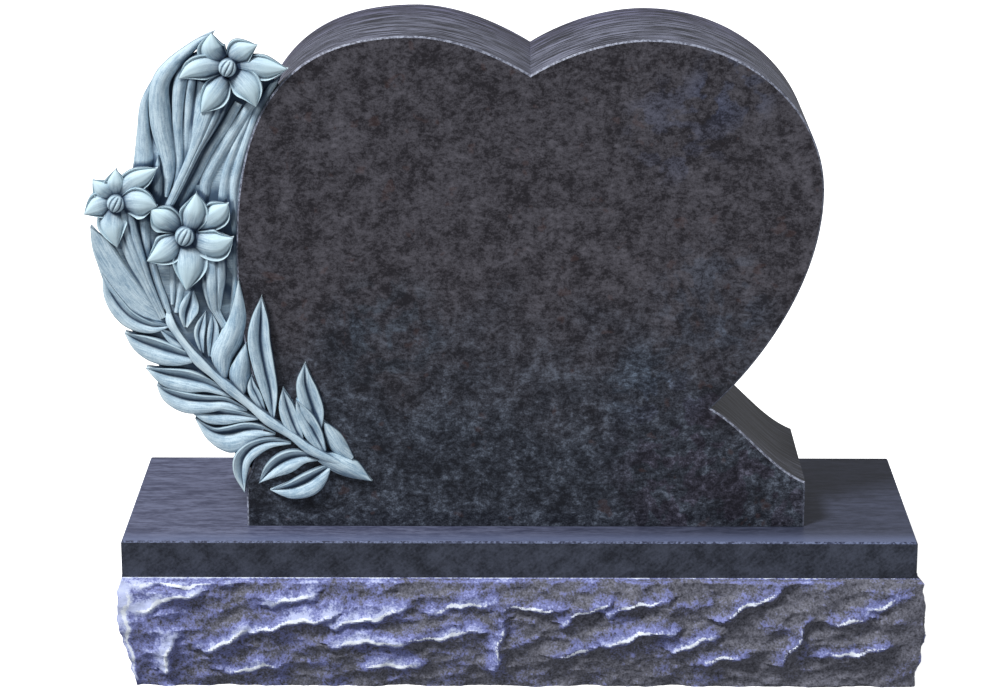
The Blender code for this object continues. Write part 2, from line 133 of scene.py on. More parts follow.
# The headstone: heights are above the base's top, widths are from the heart's own upright axis, and pairs
# are for its left and its right
REST_GAP = 0.0003
STONE_THICKNESS = 0.200
STONE_ARRIS = 0.002
AXIS_X = 0.012
NOTCH_HEIGHT = 0.533
NOTCH_EASE = 0.040
LOBE_REACH = 0.133
LOBE_HEIGHTS = (0.577, 0.573)
HALF_WIDTHS = (0.333, 0.331)
WIDEST_HEIGHTS = (0.322, 0.397)
LOBE_ROUNDINGS = (0.140, 0.109)
SIDE_ROUNDINGS = (0.175, 0.097)
WAIST_REACHES = (0.300, 0.208)
WAIST_HEIGHT = 0.144
WAIST_EASES = (0.024, 0.064)
FOOT_REACHES = (0.328, 0.319)
FOOT_HEIGHT = 0.055
ARC_STEPS = 40
MITRE_LEAST = 0.6
SHORTEST_STEP = 1e-9
SMOOTH_BELOW = math.radians(32)

# How far its curves' handles reach, as shares of the ease or the run: along and up from the notch, down
# from the widest place, up from the waist, then out and down as the foot flares and as it ends
NOTCH_HANDLES = (1.1, 0.62)
FLANK_HANDLE = 0.38
WAIST_HANDLE = 0.96
FLARE_HANDLE = (0.38, 0.28)
FOOT_HANDLE = (0.63, 0.19)

# How the stone's colour drifts: the heights between which the face turns to teal, where the spray's stone
# turns rough towards the back, the heights between which the edge goes from painted dark to a painted
# reflection of the sky on the lobes, and patches of the face (across, up, reach, tint)
LOW_TINT_FROM = 0.50
LOW_TINT_TO = 0.26
LOW_TINT = (0.60, 0.73, 0.82, 1)
BACK_FROM = -0.075
BACK_TO = -0.055
EDGE_PAINTED_SHEEN_FROM = 0.36
EDGE_PAINTED_SHEEN_TO = 0.66
FACE_PATCHES = [
    (0.240, 0.700, 0.035, (1.05, 1.16, 1.36, 1)), (0.179, 0.649, 0.045, (1.04, 1.12, 1.28, 1)),
    (0.222, 0.452, 0.050, (1.05, 1.16, 1.24, 1)), (0.156, 0.350, 0.045, (1.15, 1.28, 1.34, 1)),
    (0.230, 0.245, 0.090, (1.00, 0.84, 0.90, 1)), (-0.153, 0.415, 0.050, (0.94, 1.06, 1.10, 1)),
]

# The spray: each row gives the heights before the face at base and tip, and a route from base to tip with
# the widths to its left and its right, as one goes along it. Rows of leaves name their cut first
SPRAY_UNIT = 0.001
STRAPS = {
    "outer": (-9, -11, [
        (-112, 392, 10, 16), (-103, 430, 12, 13), (-101, 465, 9, 6.5), (-99, 500, 5, 4), (-84, 536, 0, 0),
    ]),
    "tall": (-4, -2, [
        (-78, 392, 2, 2), (-74, 428, 8, 8), (-82, 478, 13, 13), (-79, 526, 10, 10), (-42, 565, 5, 5),
        (-19, 580, 0, 0),
    ]),
    "inner": (-6, -5, [
        (-72, 392, 2, 2), (-62, 430, 4, 4), (-63, 480, 6, 6), (-58, 525, 8, 8), (-44, 546, 7, 7),
        (-26, 562, 2, 2),
    ]),
    "second_inner": (-9, -8, [(-67, 396, 2, 2), (-56, 435, 3, 4), (-51, 495, 5, 6), (-44, 538, 5, 5)]),
    "beside_calyx": (-6, -4, [
        (-62, 380, 6, 6), (-42, 418, 5, 5), (-26, 449, 6, 6), (-8, 476, 6, 6), (6, 500, 5, 5),
    ]),
    "under_lily": (-5, -4, [
        (-44, 350, 9, 9), (-36, 390, 8, 7), (-30, 415, 9, 8), (-3, 462, 8, 7), (28, 508, 6, 6),
    ]),
    "by_the_heart": (-6, -6, [
        (-20, 350, 9, 9), (-15, 385, 9, 8), (-11, 412, 8, 7), (-3, 440, 6, 6), (12, 472, 3, 3),
        (26, 500, 0, 0),
    ]),
    "edge": (-7, -5, [
        (-10, 252, 1, 1), (-3, 300, 4, 5), (-2, 360, 5, 5), (-1, 405, 7, 7), (12, 450, 7, 7),
        (28, 492, 6, 6), (44, 518, 4, 4), (55, 532, 0, 0),
    ]),
    "beside_left_calyx": (-6, -4, [
        (-84, 260, 3, 3), (-96, 300, 4, 5), (-103, 335, 5, 7), (-106, 374, 6, 8),
    ]),
    "behind_left_lily": (-7, -7, [
        (-80, 262, 6, 6), (-100, 300, 9, 9), (-118, 345, 14, 14), (-120, 380, 12, 12),
    ]),
    "left_of_lower_lily": (-9, -7, [
        (-100, 340, 8, 8), (-94, 372, 9, 9), (-89, 405, 8, 8), (-86, 440, 0, 0),
    ]),
    "behind_lower_lily": (-10, -7, [
        (-52, 250, 10, 10), (-50, 300, 20, 20), (-44, 360, 26, 26), (-40, 405, 18, 18),
    ]),
    "behind_calyx": (-8, -7, [
        (-78, 378, 8, 8), (-50, 420, 12, 12), (-30, 470, 22, 22), (-10, 540, 24, 24),
    ]),
}
LEFT_LEAVES = {
    "left_1": ("flat", -7, -10, [
        (-78, 247, 4, 4), (-105, 262, 14, 10), (-130, 290, 20, 14), (-149, 320, 13, 14), (-158, 338, 8, 9),
        (-166, 356, 0, 0),
    ]),
    "left_2": ("leaf", -2, -8, [
        (-80, 240, 2, 2), (-102, 240, 9, 6), (-125, 251, 13, 8), (-143, 274, 10, 7), (-154, 303, 0, 0),
    ]),
    "left_filler": ("leaf", -3, -5, [(-58, 214, 3, 3), (-74, 224, 7, 7), (-92, 238, 0, 0)]),
    "left_3": ("leaf", 0, -7, [
        (-46, 201, 2, 2), (-70, 206, 14, 9), (-95, 213, 18, 12), (-115, 221, 12, 9), (-131, 231, 0, 0),
    ]),
    "left_4": ("leaf", 1, -7, [
        (-6, 156, 2, 2), (-35, 170, 9, 8), (-60, 176, 16, 12), (-85, 181, 14, 9), (-108, 189, 0, 0),
    ]),
    "left_5": ("leaf", 2, -7, [
        (8, 141, 2, 2), (-15, 150, 9, 6), (-40, 150, 14, 8), (-62, 151, 16, 10), (-82, 158, 11, 7),
        (-96, 169, 0, 0),
    ]),
    "left_6": ("leaf", 3, -6, [
        (20, 131, 2, 2), (0, 134, 8, 6), (-20, 135, 13, 9), (-40, 137, 13, 9), (-60, 139, 0, 0),
    ]),
    "left_7": ("leaf", 4, -6, [
        (40, 113, 2, 2), (22, 117, 9, 7), (5, 116, 16, 10), (-15, 111, 24, 10), (-33, 113, 12, 6),
        (-53, 129, 0, 0),
    ]),
    "left_8": ("leaf", 7, 2, [
        (58, 103, 2, 2), (35, 104, 7, 5), (15, 97, 11, 8), (3, 83, 10, 11), (0, 65, 7, 9), (3, 41, 0, 0),
    ]),
    "left_9": ("leaf", 9, 5, [
        (94, 84, 2, 2), (75, 87, 8, 7), (58, 84, 15, 11), (44, 77, 15, 11), (32, 67, 9, 8), (20, 54, 0, 0),
    ]),
    "left_10": ("leaf", 10, 6, [
        (103, 76, 2, 3), (90, 66, 13, 8), (76, 56, 18, 11), (60, 49, 15, 9), (47, 47, 9, 5),
        (33, 46, 0, 0),
    ]),
}
RIGHT_LEAVES = {
    "strip_1": ("strap", -3, -5, [
        (-79, 256, 3, 3), (-84, 272, 4, 4), (-90, 290, 4.5, 4), (-95, 313, 3, 3),
    ]),
    "strip_3": ("strap", -5, -6, [(-71, 256, 3, 3), (-66, 280, 4, 5), (-61, 300, 6, 6), (-60, 314, 5, 5)]),
    "strip_2": ("strap", -4, -6, [(-75, 266, 2, 2), (-74, 290, 4, 4), (-74, 312, 3, 3)]),
    "right_1": ("leaf", -1, -5, [
        (-61, 239, 2, 3), (-60, 255, 8, 12), (-56, 268, 8, 12), (-51, 286, 0, 0),
    ]),
    "right_2": ("leaf", -1, -5, [(-42, 208, 2, 2), (-46, 229, 5, 7), (-43, 243, 5, 6), (-37, 258, 0, 0)]),
    "right_3": ("leaf", -2, -6, [(-34, 204, 2, 2), (-31, 224, 6, 7), (-29, 240, 6, 6), (-30, 256, 0, 0)]),
    "right_4": ("soft", 5, 4, [
        (-18, 180, 4, 4), (-18, 205, 15, 12), (-8, 228, 14, 14), (-1, 252, 9, 12), (2, 299, 0, 0),
    ]),
    "right_5": ("soft", 6, 5, [(4, 162, 5, 3), (1, 182, 14, 12), (4, 200, 9, 9), (9, 223, 0, 0)]),
    "right_6": ("leaf", 5, 4, [(28, 141, 2, 2), (20, 158, 7, 6), (15, 170, 6, 5), (14, 184, 0, 0)]),
    "right_7": ("leaf", 9, 8, [
        (38, 134, 2, 2), (35, 165, 10, 9), (29, 195, 13, 12), (25, 225, 14, 12), (26, 252, 10, 9),
        (28, 279, 0, 0),
    ]),
    "right_8": ("leaf", 9, 8, [
        (72, 104, 2, 2), (63, 121, 10, 8), (57, 138, 11, 9), (53, 153, 8, 7), (50, 170, 0, 0),
    ]),
    "right_9": ("leaf", 8, 7, [
        (90, 118, 3, 4), (85, 140, 14, 12), (79, 160, 13, 13), (75, 178, 9, 10), (76, 200, 0, 0),
    ]),
    "right_10": ("leaf", 11, 9, [
        (96, 94, 3, 3), (87, 112, 11, 9), (79, 128, 11, 10), (71, 143, 7, 7), (65, 157, 0, 0),
    ]),
    "right_11": ("soft", 8, 6, [(128, 84, 2, 3), (116, 96, 11, 9), (106, 111, 10, 9), (95, 131, 0, 0)]),
    "end_leaf": ("soft", 13, 7, [(92, 88, 6, 8), (110, 80, 10, 13), (128, 70, 12, 11), (151, 57, 0, 0)]),
}

# Lilies: the bud's centre, its height and its radius, and the petals as rows like the straps'
LILIES = {
    "upper": ((-4, 542), 5, 10.5, [
        (9, 9, [(-11, 542, 8, 8), (-28, 543, 14, 14), (-44, 539, 10, 12), (-59, 530, 0, 0)]),
        (7, 6, [(-10, 551, 8, 8), (-20, 563, 18, 14), (-21, 582, 0, 0)]),
        (8, 6, [(1, 550, 9, 9), (12, 560, 16, 14), (30, 568, 0, 0)]),
        (7, 7, [(6, 544, 8, 8), (26, 544, 13, 14), (42, 542, 12, 14), (63, 541, 0, 0)]),
        (10, 9, [(1, 534, 9, 8), (12, 525, 18, 15), (21, 514, 15, 12), (27, 498, 0, 0)]),
        (8, 7, [(-7, 530, 8, 8), (-17, 517, 17, 15), (-26, 505, 15, 11), (-35, 491, 0, 0)]),
    ]),
    "left": ((-134, 386), 3, 10.5, [
        (9, 8, [(-126, 386, 9, 10), (-112, 388, 17, 19), (-99, 387, 13, 16), (-87, 384, 0, 0)]),
        (5, 4, [(-130, 396, 8, 8), (-116, 410, 13, 14), (-101, 418, 11, 11), (-86, 427, 0, 0)]),
        (4, 2, [(-134, 394, 8, 8), (-134, 409, 13, 13), (-133, 426, 0, 0)]),
        (4, 1, [(-138, 392, 8, 8), (-149, 402, 13, 12), (-160, 413, 0, 0)]),
        (5, 2, [(-140, 384, 9, 9), (-154, 382, 14, 16), (-171, 373, 0, 0)]),
        (7, 6, [(-137, 378, 10, 10), (-139, 361, 17, 17), (-134, 335, 0, 0)]),
    ]),
    "lower": ((-57, 349), 7, 11.5, [
        (8, 8, [(-64, 356, 8, 8), (-74, 366, 17, 14), (-84, 373, 17, 13), (-95, 381, 0, 0)]),
        (10, 9, [(-53, 356, 8, 9), (-47, 372, 16, 16), (-44, 385, 12, 13), (-43, 400, 0, 0)]),
        (7, 7, [(-42, 358, 8, 8), (-27, 369, 15, 15), (-16, 378, 14, 14), (-7, 387, 0, 0)]),
        (11, 9, [(-47, 344, 10, 10), (-31, 340, 16, 18), (-17, 341, 15, 18), (-2, 348, 0, 0)]),
        (10, 9, [(-56, 340, 10, 10), (-53, 322, 21, 19), (-54, 306, 17, 15), (-57, 286, 0, 0)]),
        (9, 8, [(-64, 344, 9, 9), (-76, 335, 18, 17), (-86, 328, 14, 13), (-101, 320, 0, 0)]),
    ]),
}


class Cut:
    """How a blade is carved: heights across each half, as shares of its width, and along it in units."""

    def __init__(self, left, right, lift, shades=(1, 1), folded=0, trough=0, keel=0.6, keel_rise=0):
        self.left = left
        self.right = right
        self.lift = lift
        self.shades = shades
        self.folded = folded
        self.trough = trough
        self.keel = keel
        self.keel_rise = keel_rise


# Halves run from the fold, 0, to the edge, 1, and lifts from base to tip. The shades are how far the
# fold's painted shade reaches into each half
ROUNDED = [(-0.4, -0.11), (0, 0), (0.4, -0.11), (0.75, -0.42), (0.93, -0.74), (1, -1.1)]
LEVEL = [(0, -0.02), (0.6, -0.02), (0.88, -0.07), (1, -0.4)]
FULL_HALF = [(0, -0.44), (0.12, -0.24), (0.38, -0.02), (0.68, 0.02), (0.9, -0.14), (1, -0.5)]
DRAWN_HALF = [(0, -0.44), (0.25, -0.34), (0.68, -0.05), (0.88, 0.06), (0.95, -0.02), (1, -0.4)]
CUPPED = [
    (-0.35, 0.08), (0, 0.12), (0.35, 0.08), (0.62, -0.12), (0.78, -0.26), (0.90, -0.12), (0.96, -0.14),
    (1, -0.4),
]
CUTS = {
    "strap": Cut(ROUNDED, ROUNDED, [(0, 0), (1, 0)]),
    "flat": Cut(LEVEL, LEVEL, [(0, -2), (0.2, 0), (1, 0)]),
    "soft": Cut(ROUNDED, ROUNDED, [(0, -2), (0.3, 1), (0.8, 0.5), (1, -1)]),
    "leaf": Cut(
        FULL_HALF, DRAWN_HALF, [(0, -3), (0.12, -1), (0.35, 0.5), (0.8, 0.5), (1, 0)],
        shades=(0.09, 0.28), folded=1,
    ),
    "petal": Cut(
        CUPPED, CUPPED, [(0, -6), (0.16, -3.5), (0.5, 1.5), (0.8, 1.5), (1, 0)],
        trough=0.5, keel=0.3, keel_rise=1,
    ),
}

# Every blade: its points, crowded towards the edges, and its marks of painted highlight and shade, as
# shares of its half width or length. In units are THINNEST, OUTLINE_SHADE_WIDTH, the LIP under the edge
# and the mean width under which it shrinks (NARROW), how deep the keel is, and how far it stays under the
# top where it rises towards the tip
BLADE_STATIONS = 64
BLADE_SAMPLES = 29
BLADE_GROWTH = 1.05
THINNEST = 0.15
EDGE_CROWDING = 0.3
RIM_HIGHLIGHT_PLACE = 0.91
RIM_HIGHLIGHT_WIDTH = 0.05
TROUGH_PLACE = 0.76
TROUGH_WIDTH = 0.12
MARKS_FROM = 0.12
MARKS_END = 0.06
OUTLINE_SHADE_WIDTH = 1.4
THROAT_REACH = 0.20
THROAT_SHADE = 0.9
PETAL_HIGHLIGHT_FROM = 0.22
PETAL_HIGHLIGHT_RUN = 0.4
PETAL_HIGHLIGHT_SHARE = 0.95
LIP = 3
NARROW = 6
WALL_INSET = 0.96
KEEL_DEPTH = -22
KEEL_CLEAR = 9
KEEL_RUN = 0.8
KEEL_BEND = 0.7

# The buds: rings from the rim inwards, and grooves across the dome
BUD_DOME = 9
BUD_RINGS = 24
BUD_SIDES = 44
BUD_INNERMOST = 0.02
BUD_GROOVES = (-0.55, 0.0, 0.55)
BUD_GROOVE_WIDTH = 0.10
BUD_GROOVE_DEPTH = 1.5
BUD_ROUNDEST = 0.05
BUD_HIGHLIGHT = 0.4
BUD_SHADE_FROM = 0.85
BUD_TURN = math.radians(62)

# Calyx tubes and the branch: each tube's grooves, as shares of its radius to the left of its route, and
# routes of (across, up, radius, height before the face)
CALYXES = {
    "upper": ((0.28, 0.72), [
        (-18, 520, 22, -13), (-27, 490, 17, -8), (-35, 468, 12, -4), (-44, 446, 7, -2),
        (-62, 408, 5.5, -2), (-77, 378, 4.5, -5),
    ]),
    "left": ((-0.33, 0.33), [
        (-127, 378, 12, -8), (-123, 350, 13, -7), (-113, 318, 11, -6), (-103, 292, 7, -5),
        (-86, 250, 4, -6),
    ]),
    "lower": ((-0.6, 0.35), [
        (-29, 332, 17, -9), (-27, 300, 15, -5), (-27, 282, 12, -4), (-26, 264, 8, -6), (-24, 256, 5, -6),
        (-16, 240, 4, -6),
    ]),
}
BRANCH = [
    (-80, 262, 1, -8), (-78, 247, 5, -3), (-70, 233, 4.2, 0), (-57, 215, 4.4, 2), (-46, 201, 6, 3),
    (-28, 184, 4.4, 5), (-11, 169, 6, 6), (12, 149, 4.4, 7), (33, 131, 6, 8), (58, 114, 4.4, 9),
    (80, 97, 5.6, 10), (104, 85, 4, 10), (122, 76, 3, 8),
]
CALYX_STATIONS = 60
BRANCH_STATIONS = 110
STEM_SAMPLES = 31
STEM_HEIGHT = 0.8
STEM_FLATNESS = 0.8
STEM_KEEL = 0.8
STEM_EDGE_FROM = 0.85
STEM_EDGE_SHADE = 0.8
FLUTE_WIDTH = 0.10
FLUTE_DEPTH = 0.14
FLUTE_SHADE = 0.6

# The stone left behind the leaves: its outline (across, up), and how it draws in towards the back
BACKING_OUTLINE = [
    (-14, 562), (-44, 550), (-72, 528), (-90, 504), (-101, 462), (-104, 412), (-126, 406), (-152, 396),
    (-159, 366), (-156, 336), (-149, 300), (-140, 262), (-122, 226), (-98, 194), (-84, 162), (-56, 134),
    (-36, 104), (-14, 84), (2, 68), (24, 52), (60, 60), (90, 160), (70, 300), (60, 420), (60, 500),
    (30, 545),
]
BACKING_CENTRE = (10, 270)
BACKING_RINGS = [(0, 0.985), (0.09, 1.0), (0.38, 0.93), (0.66, 0.82), (0.88, 0.63), (1.0, 0.42)]
BACKING_REACH = 0.88
BACKING_FRONT = -8
BACKING_FALL = 12
BACKING_FALL_BEND = 8
BACKING_STATIONS = 220
BACKING_DEPTHS = 26
BACKING_STEPS = 9
BACKING_INNERMOST = 0.05
BACKING_ROUNDING = 24

# The field over which the spray's heights are compared, in units, with the reach and step of the painted
# shadow that taller pieces cast to their right and below
FIELD_LOW = (-200, 10)
FIELD_HIGH = (180, 610)
FIELD_FLOOR = -24
FIELD_BLUR = 5
FIELD_FINER = 4
CAST_SHADOW_FROM = 1
CAST_SHADOW_TO = 4
CAST_SHADOW_STEP = (1.5, 6.5)

# The camera: where it stands, how far it looks down and aside, and its lens
CAMERA_PLACE = (-0.0033, -3.4873, 1.3971)
CAMERA_DOWN = 16.53
CAMERA_ASIDE = 0.32
CAMERA_LENS = 111.28

# The light: a key from the upper left, an even sky, and a floor that glows
SUN_FROM = (-0.45, -0.42, 0.80)
SUN_STRENGTH = 3.2
SUN_SPREAD = 14
SKY = (0.94, 0.96, 1.0, 1)
SKY_STRENGTH = 0.35
FLOOR_REACH = 60
FLOOR_GLOW = 0.85


def tone(red, green, blue):
    """A colour read from 0 to 255, as light."""
    shares = (red / 255, green / 255, blue / 255)
    return (*(((s + 0.055) / 1.055) ** 2.4 if s > 0.04 else s / 12.92 for s in shares), 1)


# Shader sums

class Value:
    """A number in a material, which takes part in sums."""

    def __init__(self, finish, socket):
        self.finish = finish
        self.socket = socket

    def maths(self, operation, first, second):
        return self.finish.node("ShaderNodeMath", {"operation": operation}, {0: first, 1: second})

    def __add__(self, other):
        return self.maths("ADD", self, other)

    def __sub__(self, other):
        return self.maths("SUBTRACT", self, other)

    def __rsub__(self, other):
        return self.maths("SUBTRACT", other, self)

    def __mul__(self, other):
        return self.maths("MULTIPLY", self, other)

    __radd__ = __add__
    __rmul__ = __mul__


class Finish:
    """A material and the nodes that it is made of."""

    def __init__(self, name, **constants):
        self.material = bpy.data.materials.new(name)
        self.material.use_nodes = True
        self.tree = self.material.node_tree
        self.shader = self.tree.nodes["Principled BSDF"]
        for socket, value in constants.items():
            self.shader.inputs[socket.replace("_", " ")].default_value = value

    def node(self, kind, settings=None, values=None, output=0):
        """A node: its settings first, then the values or links of its sockets."""
        made = self.tree.nodes.new(kind)
        for key, value in (settings or {}).items():
            setattr(made, key, value)
        for key, value in (values or {}).items():
            self.feed(made.inputs[key], value)
        return Value(self, made.outputs[output])

    def feed(self, socket, value):
        if isinstance(value, Value):
            self.tree.links.new(value.socket, socket)
        else:
            socket.default_value = value

    def set(self, name, value):
        self.feed(self.shader.inputs[name], value)

    def place(self):
        return self.node("ShaderNodeTexCoord", output="Object")

    def attribute(self, name, output="Fac"):
        return self.node("ShaderNodeAttribute", {"attribute_name": name}, output=output)

    def vector_maths(self, operation, *values, output=0):
        return self.node("ShaderNodeVectorMath", {"operation": operation}, dict(enumerate(values)), output)

    def stretched(self, place, factors):
        return self.vector_maths("MULTIPLY", place, factors)

    def turned(self, place, axis, degrees):
        return self.node(
            "ShaderNodeVectorRotate",
            {"rotation_type": "AXIS_ANGLE"},
            {"Vector": place, "Axis": axis, "Angle": math.radians(degrees)},
        )

    def warped(self, place, scale, amount):
        """The place pushed about by a smooth field, so that what is drawn there swirls."""
        values = {"Vector": place, "Scale": scale, "Detail": 1.0}
        push = self.node("ShaderNodeTexNoise", values=values, output="Color")
        centred = self.vector_maths("SUBTRACT", push, (0.5, 0.5, 0.5))
        return self.vector_maths("MULTIPLY_ADD", centred, (amount, amount, amount), place)

    def clouds(self, place, scale, detail, roughness):
        values = {"Vector": place, "Scale": scale, "Detail": detail, "Roughness": roughness}
        return self.node("ShaderNodeTexNoise", values=values)

    def between(self, value, low, high):
        """0 below low, 1 above high, smooth from one to the other."""
        return self.node(
            "ShaderNodeMapRange",
            {"interpolation_type": "SMOOTHSTEP"},
            {"Value": value, "From Min": low, "From Max": high},
        )

    def coordinate(self, place, axis):
        """One coordinate of a place: 0 across, 1 back, 2 up."""
        return self.node("ShaderNodeSeparateXYZ", values={"Vector": place}, output=axis)

    def mix(self, share, first, second, kind="MIX"):
        settings = {"data_type": "RGBA", "blend_type": kind}
        return self.node("ShaderNodeMix", settings, {0: share, 6: first, 7: second}, output=2)

    def bump(self, height, distance, strength):
        values = {"Height": height, "Distance": distance, "Strength": strength}
        self.set("Normal", self.node("ShaderNodeBump", values=values))


# Finishes

def face_granite(finish, place, dark, fleck):
    """Dark granite whose flecks swirl: a colour and the share of its flecks."""
    swirl = finish.stretched(finish.warped(place, 30.0, 0.012), (1.0, 1.0, 1.5))
    flecks = finish.clouds(swirl, 150.0, 4.0, 0.75)
    curls = finish.clouds(finish.warped(place, 24.0, 0.030), 66.0, 3.0, 0.55)
    grain = finish.clouds(place, 520.0, 2.0, 0.6)
    drift = finish.clouds(place, 18.0, 3.0, 0.6)
    share = 0.27 + (flecks - 0.5) * 1.8 + (curls - 0.5) * 1.2 + (grain - 0.5) * 0.8 + (drift - 0.5) * 0.6
    return finish.mix(share, tone(*dark), tone(*fleck)), share


def polished_face():
    finish = Finish("polished face", Roughness=0.3, IOR=1.45, Specular_IOR_Level=0.2)
    place = finish.place()
    colour, share = face_granite(finish, place, (43, 41, 46), (112, 110, 119))
    drift = finish.clouds(place, 11.0, 3.0, 0.6)
    low = finish.between(finish.coordinate(place, 2) + (drift - 0.5) * 0.3, LOW_TINT_FROM, LOW_TINT_TO)
    colour = finish.mix(low, colour, LOW_TINT, "MULTIPLY")
    colour = finish.mix(finish.between(share, 0.35, 0.80) * low * 0.65, colour, tone(118, 128, 144))
    spots = finish.clouds(finish.warped(place, 9.0, 0.05), 46.0, 2.0, 0.5)
    tinted = finish.between(spots, 0.53, 0.46)
    for across, up, reach, tint in FACE_PATCHES:
        away = finish.vector_maths("DISTANCE", place, (across, -STONE_THICKNESS / 2, up), output=1)
        share_here = finish.between(away, reach * 1.7, reach * 0.8) * tinted
        colour = finish.mix(share_here, colour, tint, "MULTIPLY")
    rust = finish.between(spots, 0.66, 0.72)
    finish.set("Base Color", finish.mix(rust * 0.3, colour, tone(84, 62, 58)))
    finish.set("Roughness", 0.26 + share * 0.06)
    return finish.material


def arris_granite(name, dark, pale):
    finish = Finish(name, Roughness=0.5, Specular_IOR_Level=0.3)
    specks = finish.clouds(finish.place(), 300.0, 2.0, 0.6)
    finish.set("Base Color", finish.mix(finish.between(specks, 0.35, 0.65), tone(*dark), tone(*pale)))
    return finish.material


def honed_edge():
    finish = Finish("honed edge", Roughness=0.42, Specular_IOR_Level=0.3)
    place = finish.place()
    sweep = finish.attribute("sweep", "Vector")
    swept = finish.stretched(finish.warped(sweep, 9.0, 0.02), (14.0, 170.0, 1.0))
    streaks = finish.clouds(swept, 1.0, 4.0, 0.6)
    fine = finish.clouds(finish.stretched(sweep, (60.0, 420.0, 1.0)), 1.0, 2.0, 0.6)
    share = finish.between(streaks * 0.7 + fine * 0.3, 0.42, 0.62)
    colour = finish.mix(share, tone(18, 19, 34), tone(130, 133, 154))
    back = finish.between(finish.coordinate(place, 1), -0.02, 0.10)
    colour = finish.mix(back, colour, (0.62, 0.58, 0.72, 1), "MULTIPLY")
    # Painted reflection: the edge is dark low down and light on the lobes, where it mirrors the sky
    high = finish.between(finish.coordinate(place, 2), EDGE_PAINTED_SHEEN_FROM, EDGE_PAINTED_SHEEN_TO)
    dark = finish.mix(share, tone(18, 18, 25), tone(80, 82, 95))
    finish.set("Base Color", finish.mix(high, dark, colour))
    finish.bump(fine, 0.0004, 0.25)
    return finish.material


def sawn_back():
    finish = Finish("sawn back", Roughness=0.6, Specular_IOR_Level=0.3)
    colour, share = face_granite(finish, finish.place(), (60, 60, 66), (108, 110, 122))
    finish.set("Base Color", colour)
    finish.bump(share, 0.0003, 0.3)
    return finish.material


def carved_granite():
    finish = Finish("carved granite", Roughness=0.6, Specular_IOR_Level=0.3)
    place = finish.place()
    relief = finish.attribute("relief")
    lay = finish.attribute("lay", "Vector")
    strokes = finish.clouds(finish.stretched(lay, (0.05, 0.6, 1.0)), 1.0, 3.0, 0.6)
    mottle = finish.clouds(place, 60.0, 3.0, 0.6)
    fine = finish.clouds(place, 700.0, 2.0, 0.6)
    grain = finish.clouds(place, 190.0, 3.0, 0.65)
    # Painted shade in the recesses, where the spray sinks below its evened level, and a painted highlight
    # on its proudest parts
    unshaded_share = finish.between(relief + (mottle - 0.5) * 3.0, -8.0, 0.0)
    tooled = strokes * 0.5 + mottle * 0.3 + fine * 0.2
    pale = finish.mix(finish.between(tooled, 0.32, 0.66), tone(136, 168, 192), tone(218, 239, 250))
    colour = finish.mix(unshaded_share, tone(84, 108, 132), pale)
    colour = finish.mix(finish.between(relief, 1.5, 9.0), colour, tone(224, 244, 253))
    # The rim mark is a painted highlight: along the blades' edges, over the petals' outer parts and
    # between the bud's grooves
    colour = finish.mix(finish.attribute("rim") * 0.85, colour, tone(218, 245, 255))
    # Painted shade in folds, troughs, outlines, throats and grooves, with the painted shadow that taller
    # neighbours cast
    painted_shade = finish.attribute("shade") * 0.75 + finish.attribute("painted_shadow") * 0.65
    colour = finish.mix(finish.between(painted_shade + (fine - 0.5) * 0.2, 0.0, 1.05), colour, tone(55, 74, 99))
    rough = finish.mix(finish.between(grain, 0.35, 0.65), tone(78, 84, 96), tone(146, 154, 168))
    back = finish.between(finish.coordinate(place, 1), BACK_FROM, BACK_TO)
    colour = finish.mix(back, colour, rough)
    finish.set("Base Color", colour)
    finish.bump(strokes * 0.5 + fine * 0.3, 0.0005, 0.3)
    return finish.material


def base_top():
    finish = Finish("honed top", Roughness=0.45, Specular_IOR_Level=0.3)
    place = finish.place()
    swept = finish.stretched(finish.warped(place, 8.0, 0.02), (22.0, 130.0, 130.0))
    streaks = finish.clouds(swept, 1.0, 4.0, 0.65)
    fine = finish.clouds(finish.stretched(place, (110.0, 420.0, 420.0)), 1.0, 2.0, 0.6)
    share = finish.between(streaks * 0.65 + fine * 0.35, 0.36, 0.66)
    # Painted shade: the top is lighter on the left, towards the light, and darker on the right, in the
    # heart's shadow
    left = finish.mix(share, tone(64, 67, 92), tone(112, 117, 144))
    right = finish.mix(share, tone(45, 49, 66), tone(70, 75, 96))
    colour = finish.mix(finish.between(finish.coordinate(place, 0), -0.28, 0.36), left, right)
    front = finish.between(finish.coordinate(place, 1) + (streaks - 0.5) * 0.02, -0.115, -0.150)
    finish.set("Base Color", finish.mix(front * 0.6, colour, tone(112, 122, 156)))
    finish.bump(fine, 0.0003, 0.2)
    return finish.material


def base_margin():
    finish = Finish("honed margin", Roughness=0.5, Specular_IOR_Level=0.25)
    place = finish.place()
    slanted = finish.turned(place, (0.0, 1.0, 0.0), 38)
    scratches = finish.clouds(finish.stretched(slanted, (40.0, 60.0, 300.0)), 1.0, 3.0, 0.65)
    grain = finish.clouds(place, 350.0, 2.0, 0.6)
    drift = finish.clouds(place, 40.0, 4.0, 0.6)
    share = finish.between(scratches * 0.2 + grain * 0.3 + drift * 0.5, 0.34, 0.66)
    finish.set("Base Color", finish.mix(share, tone(34, 37, 46), tone(74, 79, 94)))
    finish.bump(grain, 0.0003, 0.25)
    return finish.material


